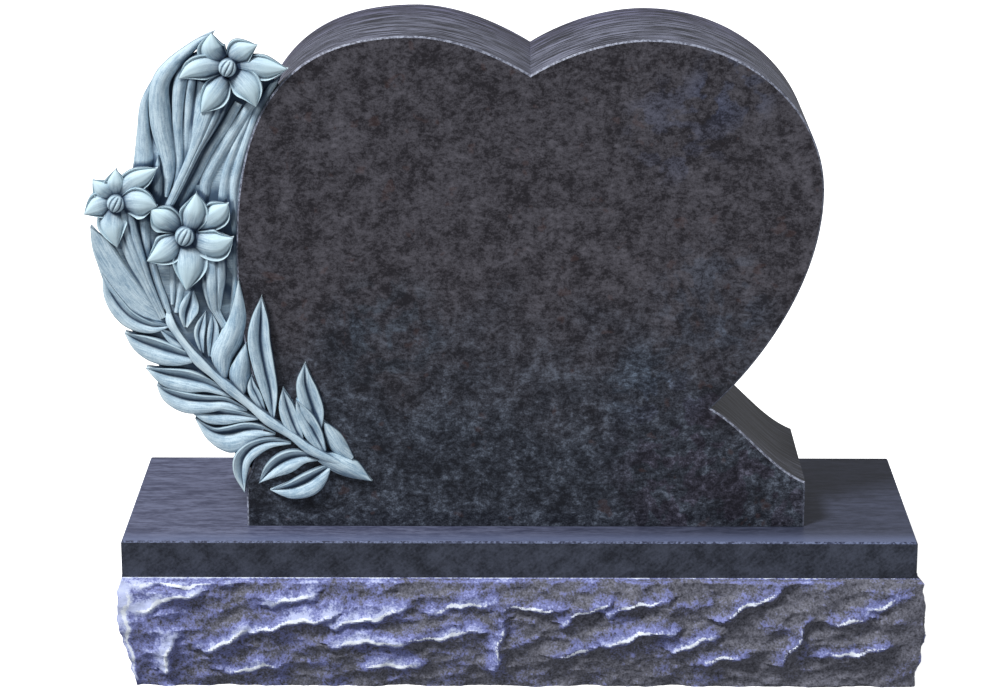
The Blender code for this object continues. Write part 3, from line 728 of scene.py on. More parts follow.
def rock_face():
    finish = Finish("rock-pitched face", Roughness=0.65, Specular_IOR_Level=0.3)
    place = finish.place()
    fine = finish.clouds(place, 430.0, 2.0, 0.6)
    grain = finish.clouds(place, 190.0, 3.0, 0.65)
    patches = finish.clouds(finish.warped(place, 20.0, 0.03), 27.0, 3.0, 0.6)
    specks = (fine - 0.5) * 2.0 + (grain - 0.5) * 2.0
    stone = finish.mix(finish.between(specks, -0.8, 0.8), tone(58, 58, 66), tone(128, 129, 143))
    # Painted light from the left: glints grow towards the left end and fade towards the right end
    across = finish.coordinate(place, 0)
    left_end = finish.between(across + (patches - 0.5) * 0.10, -0.38, -0.47)
    leftward = finish.between(across, 0.10, -0.40)
    right_end = finish.between(across, 0.10, 0.47)
    painted_end_light = left_end * 0.35 + leftward * 0.35 + right_end * -0.25
    glint = finish.attribute("glint") * 0.9 + painted_end_light + (patches - 0.5) * 2.2
    crest_highlight = finish.attribute("crest_highlight")
    # Painted glints and highlights: violet and pale on upward faces, white along the crests, over random
    # violet patches
    violet_glint = finish.between(glint + specks * 0.7, 0.05, 0.85)
    pale = finish.between(glint + specks * 0.6, 0.65, 1.30)
    white_highlight = finish.between(crest_highlight * 1.2 + glint * 0.35 + specks * 0.6, 0.80, 1.15)
    colour = finish.mix(violet_glint * 0.85, stone, tone(124, 132, 198))
    colour = finish.mix(pale * 0.85, colour, tone(206, 216, 250))
    finish.set("Base Color", finish.mix(white_highlight, colour, tone(236, 243, 255)))
    finish.bump(grain, 0.0012, 0.6)
    return finish.material


# Meshes

def mesh_piece(name, points, faces, materials, marks, face_materials=None):
    """A piece from its points in metres, with its materials and the marks that they read."""
    mesh = bpy.data.meshes.new(name)
    mesh.from_pydata([tuple(p) for p in points], [], faces)
    for made in materials:
        mesh.materials.append(made)
    if face_materials is not None:
        mesh.polygons.foreach_set("material_index", face_materials)
    for mark, values in marks.items():
        values = np.asarray(values, dtype=np.float32)
        kind, field = ("FLOAT_VECTOR", "vector") if values.ndim == 2 else ("FLOAT", "value")
        mesh.attributes.new(mark, kind, "POINT").data.foreach_set(field, values.ravel())
    work = bmesh.new()
    work.from_mesh(mesh)
    bmesh.ops.recalc_face_normals(work, faces=work.faces[:])
    work.to_mesh(mesh)
    work.free()
    mesh.shade_smooth()
    mesh.set_sharp_from_angle(angle=SMOOTH_BELOW)
    piece = bpy.data.objects.new(name, mesh)
    bpy.context.scene.collection.objects.link(piece)
    return piece


def curve_points(start, start_handle, end_handle, end, steps):
    """Points of a cubic curve, without its last one."""
    t = np.arange(steps)[:, None] / steps
    corners = [np.array(p, dtype=float) for p in (start, start_handle, end_handle, end)]
    weights = ((1 - t) ** 3, 3 * t * (1 - t) ** 2, 3 * t * t * (1 - t), t**3)
    return sum(w * p for w, p in zip(weights, corners))


def smooth_route(points, steps, closed=False):
    """Points spread evenly by parameter over a smooth curve through the given points."""
    rows = np.array(points, dtype=float)
    before, after = (rows[-1:], rows[:2]) if closed else (rows[:1], rows[-1:])
    rows = np.vstack([before, rows, after])
    spans = len(rows) - 3
    place = np.linspace(0, spans, steps, endpoint=not closed)
    k = np.minimum(place.astype(int), spans - 1)
    t = (place - k)[:, None]
    a, b, c, d = (rows[k + n] for n in range(4))
    return 0.5 * (
        2 * b + (c - a) * t + (2 * a - 5 * b + 4 * c - d) * t**2 + (3 * b - a - 3 * c + d) * t**3
    )


def sideways(route):
    """The unit directions to the left of a route, in its own plane, and the length run so far."""
    along = np.gradient(route[:, :2], axis=0)
    steps = np.linalg.norm(along, axis=1)
    along /= np.maximum(steps, SHORTEST_STEP)[:, None]
    return np.stack([-along[:, 1], along[:, 0]], axis=1), np.cumsum(steps)


def ring_quads(index):
    """The faces between successive rings of points, from the rings' point numbers."""
    beside = np.roll(index, -1, axis=1)
    return np.stack([index[:-1], beside[:-1], beside[1:], index[1:]], axis=-1)


# The polished heart

def half_outline(side):
    """The headstone's outline on one side, from the notch down to the foot's corner."""
    k = 0 if side < 0 else 1
    top, width, widest = LOBE_HEIGHTS[k], HALF_WIDTHS[k], WIDEST_HEIGHTS[k]
    lobe = (LOBE_REACH, top)
    flank = (width, widest)
    waist = (WAIST_REACHES[k], WAIST_HEIGHT)
    shoulder = (FOOT_REACHES[k], FOOT_HEIGHT)
    rise = FOOT_REACHES[k] - WAIST_REACHES[k]
    drop = WAIST_HEIGHT - FOOT_HEIGHT
    ease = WAIST_EASES[k]
    curves = (
        (
            (0, NOTCH_HEIGHT),
            (NOTCH_EASE, NOTCH_HEIGHT + NOTCH_EASE * NOTCH_HANDLES[1]),
            (LOBE_REACH - NOTCH_EASE * NOTCH_HANDLES[0], top),
            lobe,
        ),
        (lobe, (LOBE_REACH + LOBE_ROUNDINGS[k], top), (width, widest + SIDE_ROUNDINGS[k]), flank),
        (
            flank,
            (width, widest - (widest - WAIST_HEIGHT) * FLANK_HANDLE),
            (waist[0] + ease, WAIST_HEIGHT + ease * WAIST_HANDLE),
            waist,
        ),
        (
            waist,
            (waist[0] + rise * FLARE_HANDLE[0], WAIST_HEIGHT - drop * FLARE_HANDLE[1]),
            (waist[0] + rise * FOOT_HANDLE[0], FOOT_HEIGHT + drop * FOOT_HANDLE[1]),
            shoulder,
        ),
    )
    points = [curve_points(*curve, ARC_STEPS) for curve in curves]
    points.append(np.array([shoulder, (FOOT_REACHES[k], REST_GAP)]))
    return np.vstack(points) * (side, 1) + (AXIS_X, BASE_HEIGHT)


def polished_heart():
    """The heart and its foot: polished face, fine arris, honed edge and sawn back."""
    outline = np.vstack([half_outline(1)[::-1], half_outline(-1)[1:]])
    count = len(outline)
    runs = np.diff(outline, axis=0)
    lengths = np.linalg.norm(runs, axis=1)
    square = np.stack([-runs[:, 1], runs[:, 0]], axis=1) / np.maximum(lengths, SHORTEST_STEP)[:, None]
    before = np.vstack([square[:1], square])
    after = np.vstack([square, square[-1:]])
    mitre = np.maximum(1 + (before * after).sum(axis=1), MITRE_LEAST)
    inward = (before + after) / mitre[:, None]
    inner = outline + inward * STONE_ARRIS
    front = -STONE_THICKNESS / 2
    rows = [
        np.insert(inner, 1, front, axis=1),
        np.insert(outline, 1, front + STONE_ARRIS, axis=1),
        np.insert(outline, 1, -front, axis=1),
    ]
    index = np.arange(3 * count).reshape(3, count)
    strips = ring_quads(index)[:, :-1].reshape(-1, 4).tolist()
    underside = np.concatenate([index[:, 0], index[::-1, -1]]).tolist()
    faces = [index[0].tolist(), *strips, index[2, ::-1].tolist(), underside]
    slots = [0] + [1] * (count - 1) + [2] * (count - 1) + [3, 3]
    run = np.concatenate([[0], np.cumsum(lengths)])
    sweep = np.vstack([np.stack([run, row[:, 1], np.zeros(count)], axis=1) for row in rows])
    arris = arris_granite("fine arris", (94, 97, 112), (160, 166, 184))
    finishes = [polished_face(), arris, honed_edge(), sawn_back()]
    return mesh_piece("polished_heart", np.vstack(rows), faces, finishes, {"sweep": sweep}, slots)


# The carved spray

class Carving:
    """Closed solids gathered into one mesh, in spray units, with the marks that their finish reads.

    The walls under a carved top are read as if at the height of its edge.
    """

    def __init__(self, name):
        self.name = name
        self.points = []
        self.faces = []
        # Marks: rim for painted highlight, shade for painted shade, lay for the run of the tool strokes
        self.marks = {"rim": [], "shade": [], "lay": []}
        self.tops = []
        self.heights = []
        self.count = 0

    def add(self, top, under, rim, shade, lay):
        """A solid from its carved top and the points under it, ring by ring from base to tip."""
        rings = np.concatenate([top, under], axis=1)
        rows, samples = rings.shape[:2]
        index = self.count + np.arange(rows * samples).reshape(rows, samples)
        self.faces += ring_quads(index).reshape(-1, 4).tolist()
        self.faces += [index[0].tolist(), index[-1].tolist()]
        self.points.append(rings.reshape(-1, 3))
        below = np.zeros(under.shape[:2])
        self.marks["rim"].append(np.hstack([rim, below]).ravel())
        self.marks["shade"].append(np.hstack([shade.clip(0, 1), below]).ravel())
        self.marks["lay"].append(np.concatenate([lay, under], axis=1).reshape(-1, 3))
        self.tops.append(top)
        edges = top[:, [-1, 0], 2].repeat(under.shape[1] // 2, axis=1)
        self.heights.append(np.hstack([top[:, :, 2], edges]).ravel())
        self.count += rows * samples

    def piece(self, field, finish):
        points = np.vstack(self.points)
        heights = np.concatenate(self.heights)
        marks = {mark: np.concatenate(values) for mark, values in self.marks.items()}
        marks["relief"] = heights - field.level(points)
        marks["painted_shadow"] = field.painted_shadow(points, heights)
        return mesh_piece(self.name, on_stone(points), self.faces, [finish], marks)


def on_stone(points):
    """Points of the spray's drawing (across, up, proud), in metres."""
    x = AXIS_X - HALF_WIDTHS[0] + points[:, 0] * SPRAY_UNIT
    y = -STONE_THICKNESS / 2 - points[:, 2] * SPRAY_UNIT
    z = BASE_HEIGHT + points[:, 1] * SPRAY_UNIT
    return np.stack([x, y, z], axis=1)


class Field:
    """How far the spray stands out at each place: evened, and highest close by to the left or above, for
    painted shadow.
    """

    def __init__(self, carvings):
        columns = FIELD_HIGH[0] - FIELD_LOW[0]
        rows = FIELD_HIGH[1] - FIELD_LOW[1]
        heights = np.full((columns, rows), float(FIELD_FLOOR))
        for carving in carvings:
            for top in carving.tops:
                dense = finer(finer(top).transpose(1, 0, 2)).reshape(-1, 3)
                np.maximum.at(heights, self.cells(dense), dense[:, 2])
        across = np.arange(columns) + FIELD_LOW[0] + 0.5
        up = np.arange(rows) + FIELD_LOW[1] + 0.5
        edge = half_outline(-1)[ARC_STEPS:][::-1]
        inside_from = np.interp(up * SPRAY_UNIT + BASE_HEIGHT, edge[:, 1], edge[:, 0])
        edge_across = (inside_from - AXIS_X + HALF_WIDTHS[0]) / SPRAY_UNIT
        on_face = across[:, None] > edge_across[None]
        heights = np.where(on_face, np.maximum(heights, 0), heights)
        self.evened = blurred(heights, FIELD_BLUR)
        self.highest = heights
        for axis, way in ((0, 1), (1, -1)):
            steps = range(CAST_SHADOW_FROM, CAST_SHADOW_TO + 1)
            self.highest = np.max([np.roll(self.highest, way * step, axis=axis) for step in steps], axis=0)
        self.highest = blurred(self.highest, 1)

    def cells(self, points):
        spots = (points[:, :2] - FIELD_LOW).astype(int)
        columns, rows = spots.clip(0, np.subtract(FIELD_HIGH, FIELD_LOW) - 1).T
        return columns, rows

    def level(self, points):
        return self.evened[self.cells(points)]

    def painted_shadow(self, points, heights):
        """Painted shadow: 1 where a neighbour close by, to the left or above, stands well clear, 0 where
        none does.
        """
        low, high = CAST_SHADOW_STEP
        return ((self.highest[self.cells(points)] - heights - low) / (high - low)).clip(0, 1)


def blurred(heights, reach):
    """Heights evened over a reach in cells, first across and then up."""
    spread = np.arange(-2 * reach, 2 * reach + 1)
    kernel = np.exp(-0.5 * (spread / reach) ** 2)
    kernel /= kernel.sum()

    def evened(line):
        return np.convolve(np.pad(line, 2 * reach, mode="edge"), kernel, mode="valid")

    for axis in (0, 1):
        heights = np.apply_along_axis(evened, axis, heights)
    return heights


def finer(grid):
    """A grid of points with more points between its rows."""
    shares = np.linspace(0, 1, FIELD_FINER, endpoint=False)[None, :, None, None]
    between = grid[:-1, None] + (grid[1:] - grid[:-1])[:, None] * shares
    return between.reshape(-1, *grid.shape[1:])


def curve_through(x, knots):
    """Heights at x of a smooth curve through (place, height) knots."""
    places, heights = np.array(knots, dtype=float).T
    slopes = np.gradient(heights, places)
    k = np.clip(np.searchsorted(places, x, side="right") - 1, 0, len(places) - 2)
    gap = places[k + 1] - places[k]
    t = (x - places[k]) / gap
    left = heights[k] * (1 + 2 * t) * (1 - t) ** 2 + slopes[k] * gap * t * (1 - t) ** 2
    right = heights[k + 1] * t * t * (3 - 2 * t) + slopes[k + 1] * gap * t * t * (t - 1)
    return left + right


def near(value, place, width):
    """1 at a place, falling off to either side of it."""
    return np.exp(-(((value - place) / width) ** 2))


def blade(carving, cut_name, base_height, tip_height, rows):
    """A carved leaf, strap or petal: a shaped top with lips, on a keel that runs back into the stone."""
    cut = CUTS[cut_name]
    spine = smooth_route(rows, BLADE_STATIONS)
    side, run = sideways(spine)
    t = (run / run[-1])[:, None]
    u = np.linspace(-1, 1, BLADE_SAMPLES)[None]
    s = u * (1 + EDGE_CROWDING - EDGE_CROWDING * u * u)
    reach = abs(s) + t * 0
    widths = (spine[:, 2:4] * BLADE_GROWTH).clip(THINNEST)
    left, right = widths[:, :1], widths[:, 1:]
    on_left = s < 0
    half_width = np.where(on_left, left, right)
    offset = -s * half_width
    mean_width = widths.mean(axis=1)[:, None]
    across = np.where(on_left, curve_through(reach, cut.left), curve_through(reach, cut.right))
    centre = base_height + (tip_height - base_height) * t + curve_through(t, cut.lift)
    height = centre + across * mean_width
    spots = spine[:, None, :2] + side[:, None, :] * offset[:, :, None]
    top = np.concatenate([spots, height[:, :, None]], axis=2)
    rise = (centre - KEEL_DEPTH - KEEL_CLEAR).clip(0) * np.minimum(t / KEEL_RUN, 1) ** KEEL_BEND
    keel = KEEL_DEPTH + rise * cut.keel_rise
    lips = height[:, [-1, 0]] - LIP * np.minimum(mean_width / NARROW, 1)
    under = [
        np.concatenate([spine[:, :2] + side * width * share, level], axis=1)
        for width, share, level in (
            (-right, WALL_INSET, lips[:, :1]),
            (-right, cut.keel, keel),
            (left, cut.keel, keel),
            (left, WALL_INSET, lips[:, 1:]),
        )
    ]
    # Painted shade in the fold, the trough, along the outline and in the petals' throats; painted
    # highlight on the rim and on the petals' outer parts
    form = np.minimum(np.minimum(t / MARKS_FROM, (1 - t) / MARKS_END), 1)
    shade = near(reach, 0, np.where(on_left, *cut.shades)) * form * cut.folded
    shade = np.maximum(shade, near(reach, TROUGH_PLACE, TROUGH_WIDTH) * cut.trough * form)
    shade = np.maximum(shade, (1 - (1 - reach) * half_width / OUTLINE_SHADE_WIDTH).clip(0, 1))
    rim = near(reach, RIM_HIGHLIGHT_PLACE, RIM_HIGHLIGHT_WIDTH) * form
    if cut.keel_rise:
        shade = np.maximum(shade, near(t, 0, THROAT_REACH) * THROAT_SHADE)
        rim = np.maximum(rim, ((t - PETAL_HIGHLIGHT_FROM) / PETAL_HIGHLIGHT_RUN).clip(0, 1) * PETAL_HIGHLIGHT_SHARE)
    lay = np.stack(np.broadcast_arrays(run[:, None], offset, run[-1] + base_height), axis=2)
    carving.add(top, np.stack(under, axis=1), rim, shade, lay)


def bud(carving, centre, height, radius):
    """The closed bud in a lily's throat, with grooves that run over it from end to end."""
    share = np.linspace(1, BUD_INNERMOST, BUD_RINGS)[:, None]
    turn = np.arange(BUD_SIDES)[None] * math.tau / BUD_SIDES
    across = np.cos(turn) * share
    up = np.sin(turn) * share
    over = across * math.cos(BUD_TURN) + up * math.sin(BUD_TURN)
    beside = up * math.cos(BUD_TURN) - across * math.sin(BUD_TURN)
    beside /= np.sqrt((1 - over**2).clip(BUD_ROUNDEST))
    groove = sum(near(beside, place, BUD_GROOVE_WIDTH) for place in BUD_GROOVES)
    dome = height + BUD_DOME * np.sqrt((1 - share**2).clip(0)) - BUD_GROOVE_DEPTH * groove
    spots = np.stack([centre[0] + radius * across, centre[1] + radius * up], axis=2)
    rings = np.concatenate([spots, dome[:, :, None]], axis=2)
    foot = rings[:1] * (1, 1, 0) + (0, 0, KEEL_DEPTH)
    top = np.concatenate([foot, rings])
    # Painted highlight between the grooves; painted shade on the foot, in the grooves and round the rim
    rim = np.vstack([groove[:1] * 0, (1 - groove).clip(0, 1) * BUD_HIGHLIGHT])
    dark = (share - BUD_SHADE_FROM) / (1 - BUD_SHADE_FROM)
    shade = np.vstack([groove[:1] * 0 + 1, np.maximum(groove, dark)])
    carving.add(top, top[:, :0], rim, shade, top)


def stem(carving, route, grooves, stations):
    """A round stem or calyx tube, half sunk in the stone, with grooves along it."""
    spine = smooth_route(route, stations)
    side, run = sideways(spine)
    radius, height = spine[:, 2:3], spine[:, 3:4]
    turn = np.linspace(0, math.pi, STEM_SAMPLES)[None]
    share = np.cos(turn)
    groove = sum((near(share, place, FLUTE_WIDTH) for place in grooves), share * 0)
    proud = height + radius * (STEM_HEIGHT * np.sin(turn) ** STEM_FLATNESS - FLUTE_DEPTH * groove)
    spots = spine[:, None, :2] + side[:, None, :] * (share * radius)[:, :, None]
    top = np.concatenate([spots, proud[:, :, None]], axis=2)
    under = [
        np.concatenate([spine[:, :2] + side * radius * place, radius * 0 + KEEL_DEPTH], axis=1)
        for place in (-STEM_KEEL, STEM_KEEL)
    ]
    edge = ((abs(share) - STEM_EDGE_FROM) / (1 - STEM_EDGE_FROM)).clip(0, 1)
    shade = np.maximum(groove * FLUTE_SHADE, edge * STEM_EDGE_SHADE) + radius * 0
    lay = np.stack(np.broadcast_arrays(run[:, None], share * radius, run[-1]), axis=2)
    carving.add(top, np.stack(under, axis=1), shade * 0, shade, lay)


def backing(carving):
    """The roughed-out stone behind the leaves, drawing in towards the back."""
    outline = smooth_route(BACKING_OUTLINE, BACKING_STATIONS, closed=True)
    centre = np.array(BACKING_CENTRE, dtype=float)
    deepest = -STONE_THICKNESS * BACKING_REACH / SPRAY_UNIT
    rim = BACKING_FRONT - BACKING_FALL
    depths, draws = np.array(BACKING_RINGS).T
    shares = np.linspace(BACKING_INNERMOST, 1, BACKING_STEPS)[:-1]
    levels = [
        (BACKING_FRONT - BACKING_FALL * share**BACKING_FALL_BEND, share * draws[0]) for share in shares
    ]
    levels += [
        (rim + (deepest - rim) * depth, np.interp(depth, depths, draws))
        for depth in np.linspace(0, 1, BACKING_DEPTHS)
    ]
    levels += [(deepest, share * draws[-1]) for share in shares[::-1]]
    turns = range(-BACKING_ROUNDING, BACKING_ROUNDING + 1)
    rounder = np.mean([np.roll(outline, turn, axis=0) for turn in turns], axis=0)
    rings = []
    for level, share in levels:
        back = min(max((rim - level) / (rim - deepest) * 2, 0), 1)
        spots = centre + (outline + (rounder - outline) * back - centre) * share
        rings.append(np.insert(spots, 2, level, axis=1))
    rings = np.array(rings)
    rough = [broken_rock(Vector(p) * SPRAY_UNIT) / SPRAY_UNIT for p in rings.reshape(-1, 3)]
    outward = rings - np.array([*centre, (BACKING_FRONT + deepest) / 2])
    outward /= np.linalg.norm(outward, axis=2, keepdims=True)
    behind_rim = ((rim - rings[:, :, 2:]) / BACKING_FALL).clip(0, 1)
    rings = rings + outward * np.array(rough).reshape(*rings.shape[:2], 1) * behind_rim
    blank = np.zeros(rings.shape[:2])
    carving.add(rings, rings[:, :0], blank, blank, rings)


def carved_spray():
    """Every carved piece of the spray, from the back to the front."""
    behind = Carving("spray_backing")
    backing(behind)
    straps = Carving("strap_leaves")
    for row in STRAPS.values():
        blade(straps, "strap", *row)
    leaves = Carving("branch_leaves")
    for row in (*LEFT_LEAVES.values(), *RIGHT_LEAVES.values()):
        blade(leaves, *row)
    stems = Carving("branch_and_calyxes")
    for grooves, route in CALYXES.values():
        stem(stems, route, grooves, CALYX_STATIONS)
    stem(stems, BRANCH, (), BRANCH_STATIONS)
    lilies = Carving("lilies")
    for centre, height, radius, petals in LILIES.values():
        for row in petals:
            blade(lilies, "petal", *row)
        bud(lilies, centre, height, radius)
    carvings = (behind, straps, leaves, stems, lilies)
    field = Field(carvings)
    finish = carved_granite()
    return [carving.piece(field, finish) for carving in carvings]


# The rock-pitched base

def waves(along, up, turns):
    """Even waves over a side, with so many radians a metre along it and up it."""
    return np.sin(along * turns[0] + up * turns[1])


def ridge_forms(ridges, along, up):
    """How far the rock face stands out, its painted glint above its ridges, and painted highlights along
    their crests.
    """
    proudest = np.zeros(np.broadcast(along, up).shape)
    glint = proudest.copy()
    crest_highlight = proudest.copy()
    strays = waves(along, up, RIDGE_WAVES_ALONG)
    lifts = waves(along, up, RIDGE_WAVES_UP) + waves(along, up, (RIDGE_FINE_WAVES, 0)) / 2
    along = along + RIDGE_WOBBLE * strays
    up = up + RIDGE_WOBBLE * lifts
    for x0, z0, x1, z1, proud in ridges:
        run = np.array([x1 - x0, z1 - z0])
        share = (((along - x0) * run[0] + (up - z0) * run[1]) / (run @ run)).clip(0, 1)
        away_x = along - x0 - run[0] * share
        away_z = up - z0 - run[1] * share
        away = np.hypot(away_x, away_z)
        above = away_z > 0
        reach = np.where(above, RIDGE_REACH_ABOVE, RIDGE_REACH_BELOW)
        proudest = np.maximum(proudest, proud * (1 - away / reach).clip(0))
        glint = np.maximum(glint, (1 - away / np.where(above, GLINT_ABOVE, GLINT_BELOW)).clip(0))
        above_crest = near(np.hypot(away_x, away_z - CREST_HIGHLIGHT_RISE), 0, CREST_HIGHLIGHT_WIDTH)
        fading = np.sin(math.pi * (CREST_HIGHLIGHT_ENDS + (1 - 2 * CREST_HIGHLIGHT_ENDS) * share))
        crest_highlight = np.maximum(crest_highlight, above_crest * fading)
    return proudest, glint, crest_highlight


def broken_rock(place):
    """The break of the stone at one place: scallops with sharp crests, and grit."""
    shift = SCALLOP_LEAN * place.z
    leaning = Vector((place.x - shift, place.y - shift, place.z / SCALLOP_STRETCH))
    stands = 0.0
    for size, depth in zip(SCALLOP_SIZES, SCALLOP_DEPTHS):
        nearest = noise.voronoi(leaning / size)[0][0]
        stands += depth * (nearest**2 - SCALLOP_LEVEL)
    return stands + GRIT_DEPTH * noise.fractal(place / GRIT_SIZE, 0.6, 2.0, 3)


class Side:
    """One side of the base, seen from outside."""

    def __init__(self, number, length, run, away, ridges):
        self.number = number
        self.length = length
        self.run = np.array(run, dtype=float)
        self.out = np.array([run[1], -run[0]], dtype=float)
        self.away = away
        self.ridges = ridges
        self.along = np.linspace(-length / 2, length / 2, round(length / PITCH_CELL) + 1)

    def places(self, along, proud, up):
        """Points on this side in metres, without its last column, which is the next side's first."""
        along, away, up = np.broadcast_arrays(along, self.away + proud, up)
        spots = self.run * along[:, :, None] + self.out * away[:, :, None]
        return np.concatenate([spots, up[:, :, None]], axis=2)[:, :-1]

    def reach(self, levels):
        """How far the rock face stands out of the margin's plane, at each level and column."""
        up = levels[:, None]
        along = self.along[None]
        pitch_top = BASE_HEIGHT - MARGIN_HEIGHT
        low = 1 - up / pitch_top
        swell = LEDGES[self.number] + PITCH_SWELL * (np.sin(math.pi * low) - 0.5 * low)
        swell = swell - BATTERS[self.number] * low**2
        wander = waves(along, up, PITCH_WAVES) + waves(along, up, FINER_PITCH_WAVES) / 2
        shelf = ((self.length / 2 - abs(along)) / CORNER_EASE).clip(0, 1)
        proud, glint, crest_highlight = ridge_forms(self.ridges, along, up)
        spots = self.run * self.along[:, None] + self.out * self.away
        broken = np.array([[broken_rock(Vector((x, y, z))) for x, y in spots] for z in levels])
        broken *= CORNER_BREAK + (1 - CORNER_BREAK) * shelf
        return swell + PITCH_WANDER * wander + proud * shelf + broken, glint, crest_highlight


def other_ridges(length, height, number):
    """Ridges for a side that isn't seen, running up to the right."""
    count = round(length / OTHER_RIDGE_ROOM)
    ridges = []
    for i in range(count):
        spot = Vector((i * 1.7, number * 9.1, 4.3))
        layers = (Vector((0, 0, layer)) for layer in OTHER_RIDGE_LAYERS)
        stray, lift, stretch, tilt = (noise.noise(spot + layer) for layer in layers)
        middle = -length / 2 + length * (i + 0.5 + stray * OTHER_RIDGE_STRAY) / count
        up = height * (OTHER_RIDGE_UP[0] + OTHER_RIDGE_UP[1] * lift)
        run = OTHER_RIDGE_LENGTH[0] * (1 + OTHER_RIDGE_LENGTH[1] * stretch)
        rise = OTHER_RIDGE_RISE[0] * (1 + OTHER_RIDGE_RISE[1] * tilt)
        ridges.append((middle - run / 2, up, middle + run / 2, up + rise, OTHER_RIDGE_PROUD))
    return ridges


def pitched_rows(sides, pitch_top):
    """The rows of points round the rock faces, from the margin down, with their painted glints and crest
    highlights.
    """
    ledge = pitch_top - LEDGE_DROP
    levels = np.linspace(ledge, 0, round(ledge / PITCH_CELL) + 1)
    lip = np.linspace(0, 1, LEDGE_ROWS, endpoint=False)[1:]
    heights = np.concatenate([pitch_top - LEDGE_DROP * lip, levels])
    forms = [side.reach(levels) for side in sides]
    reaches = [np.vstack([np.outer(np.sin(lip * math.pi / 2), reach[0]), reach]) for reach, _, _ in forms]
    rock = []
    glints = []
    crest_highlights = []
    for k, side in enumerate(sides):
        reach = reaches[k]
        before = reaches[k - 1][:, -1]
        after = reaches[(k + 1) % 4][:, 0]
        start = (1 - (side.along + side.length / 2) / CORNER_REACH).clip(0, 1)
        end = (1 - (side.length / 2 - side.along) / CORNER_REACH).clip(0, 1)
        slip = np.outer(after, end) - np.outer(before, start)
        lump = np.outer(np.sin(heights * CORNER_TURNS + k), start**2)
        lump += np.outer(np.sin(heights * CORNER_TURNS + k + 1), end**2)
        rock.append(side.places(side.along + slip, reach + CORNER_LUMP * lump, heights[:, None]))
        under_margin = np.zeros((LEDGE_ROWS - 1, reach.shape[1]))
        ridge_glint = np.vstack([under_margin + LEDGE_GLINT, forms[k][1]])
        glints.append(np.maximum(rock_glint(reach, heights), ridge_glint)[:, :-1])
        crest_highlights.append(np.vstack([under_margin, forms[k][2]])[:, :-1])
    return [np.concatenate(parts, axis=1) for parts in (rock, glints, crest_highlights)]


def rock_base():
    """The base: a honed top and margin over four rock-pitched sides."""
    pitch_top = BASE_HEIGHT - MARGIN_HEIGHT
    half_width = BASE_WIDTH / 2
    half_depth = BASE_DEPTH / 2
    front = [
        (x0 * half_width, z0 * pitch_top, x1 * half_width, z1 * pitch_top, proud)
        for x0, z0, x1, z1, proud in FRONT_RIDGES
    ]
    sides = [
        Side(0, BASE_WIDTH, (1, 0), half_depth, front),
        Side(1, BASE_DEPTH, (0, 1), half_width, other_ridges(BASE_DEPTH, pitch_top, 1)),
        Side(2, BASE_WIDTH, (-1, 0), half_depth, other_ridges(BASE_WIDTH, pitch_top, 2)),
        Side(3, BASE_DEPTH, (0, -1), half_width, other_ridges(BASE_DEPTH, pitch_top, 3)),
    ]
    rock, glint, crest_highlight = pitched_rows(sides, pitch_top)
    smooth = []
    for height, inset in ((BASE_HEIGHT, TOP_ARRIS), (BASE_HEIGHT - TOP_ARRIS, 0), (pitch_top, 0)):
        drawn = [side.along[None] * (1 - 2 * inset / side.length) for side in sides]
        ring = [side.places(along, -inset, height) for side, along in zip(sides, drawn)]
        smooth.append(np.concatenate(ring, axis=1))
    grid = np.concatenate([*smooth, rock])
    rows, samples = grid.shape[:2]
    plain = np.zeros((2, samples))
    lip_row = np.ones((1, samples))
    # The ledge row under the margin gets a full painted glint and a painted crest highlight
    marks = {
        "glint": np.concatenate([plain, lip_row, glint]).ravel(),
        "crest_highlight": np.concatenate([plain, lip_row * LIP_HIGHLIGHT, crest_highlight]).ravel(),
    }
    index = np.arange(rows * samples).reshape(rows, samples)
    quads = ring_quads(index)
    slots = np.full(quads.shape[:2], 3)
    slots[0] = 1
    slots[1] = 2
    faces = quads.reshape(-1, 4).tolist() + [index[0].tolist(), index[-1].tolist()]
    slots = np.concatenate([slots.ravel(), [0, 3]])
    arris = arris_granite("base arris", (34, 40, 66), (104, 114, 146))
    finishes = [base_top(), arris, base_margin(), rock_face()]
    return mesh_piece("rock_base", grid.reshape(-1, 3), faces, finishes, marks, slots)


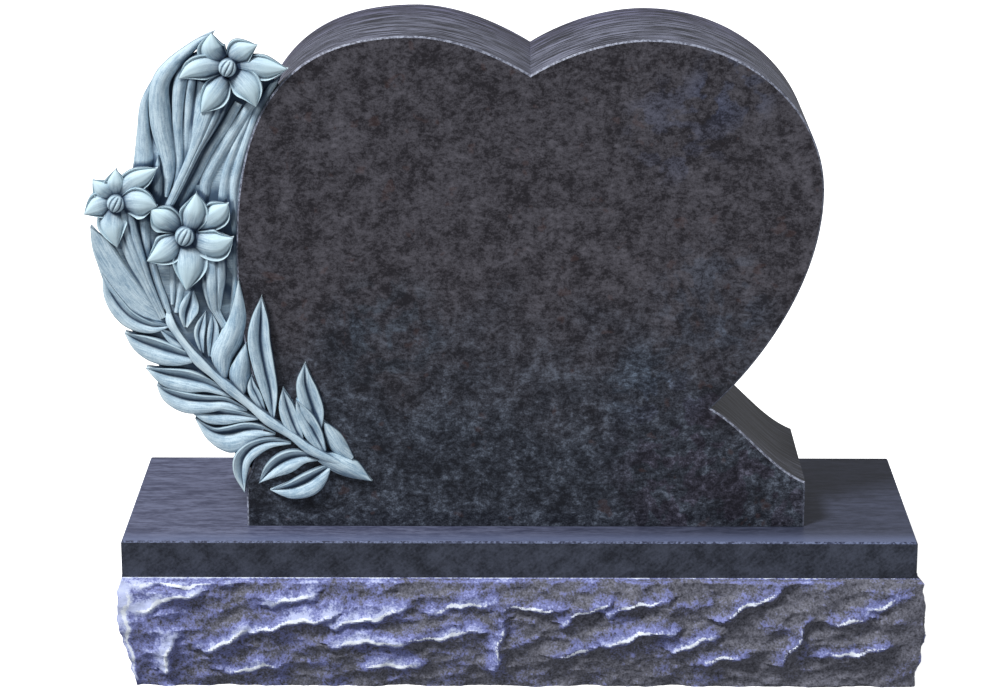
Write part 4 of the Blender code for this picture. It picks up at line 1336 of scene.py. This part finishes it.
def rock_glint(reach, heights):
    """Where the broken face catches the light from above: small crests, and slopes that face up."""
    slope = np.gradient(reach, axis=0) / np.gradient(heights)[:, None]
    rows, columns = reach.shape
    furthest = max(SMALL_CREST_CELLS)
    padded = np.pad(reach, furthest, mode="edge")
    starts = [furthest + cells for cells in SMALL_CREST_CELLS]
    beside = [padded[i : i + rows, j : j + columns] for i in starts for j in starts]
    small_crest = ((reach - sum(beside) / len(beside)) / SMALL_CREST).clip(-1, 1)
    return (SMALL_GLINT * (small_crest - slope.clip(-STEEPEST_DOWN, 1)) - GLINT_FROM).clip(0, 1)


# The setting

def studio():
    """A pale floor, soft light from above and the left, and the camera."""
    scene = bpy.context.scene
    scene.view_settings.view_transform = "Standard"
    world = bpy.data.worlds.new("studio")
    world.use_nodes = True
    sky = world.node_tree.nodes["Background"]
    sky.inputs["Color"].default_value = SKY
    sky.inputs["Strength"].default_value = SKY_STRENGTH
    scene.world = world
    sun = bpy.data.lights.new("key", "SUN")
    sun.energy = SUN_STRENGTH
    sun.angle = math.radians(SUN_SPREAD)
    key = bpy.data.objects.new("key", sun)
    key.rotation_euler = Vector(SUN_FROM).to_track_quat("Z", "Y").to_euler()
    scene.collection.objects.link(key)
    mesh = bpy.data.meshes.new("floor")
    corners = [(x * FLOOR_REACH, y * FLOOR_REACH, 0) for x, y in ((-1, -1), (1, -1), (1, 1), (-1, 1))]
    mesh.from_pydata(corners, [], [(0, 1, 2, 3)])
    pale = Finish("pale floor", Roughness=0.9, Base_Color=(0.85, 0.85, 0.85, 1), Specular_IOR_Level=0.0)
    pale.set("Emission Color", (1, 1, 1, 1))
    pale.set("Emission Strength", FLOOR_GLOW)
    mesh.materials.append(pale.material)
    floor = bpy.data.objects.new("floor", mesh)
    floor.visible_diffuse = False
    floor.visible_glossy = False
    scene.collection.objects.link(floor)
    lens = bpy.data.cameras.new("camera")
    lens.lens = CAMERA_LENS
    camera = bpy.data.objects.new("camera", lens)
    camera.location = CAMERA_PLACE
    camera.rotation_euler = (math.radians(90 - CAMERA_DOWN), 0, math.radians(CAMERA_ASIDE))
    scene.collection.objects.link(camera)
    scene.camera = camera


def main():
    studio()
    heart = polished_heart()
    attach(heart, "root")
    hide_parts("heart_headstone")
    for piece in carved_spray():
        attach(piece, "root")
        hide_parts("heart_headstone")
    base = rock_base()
    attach(base, "root")
    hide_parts("rock_pitched_base")


main()
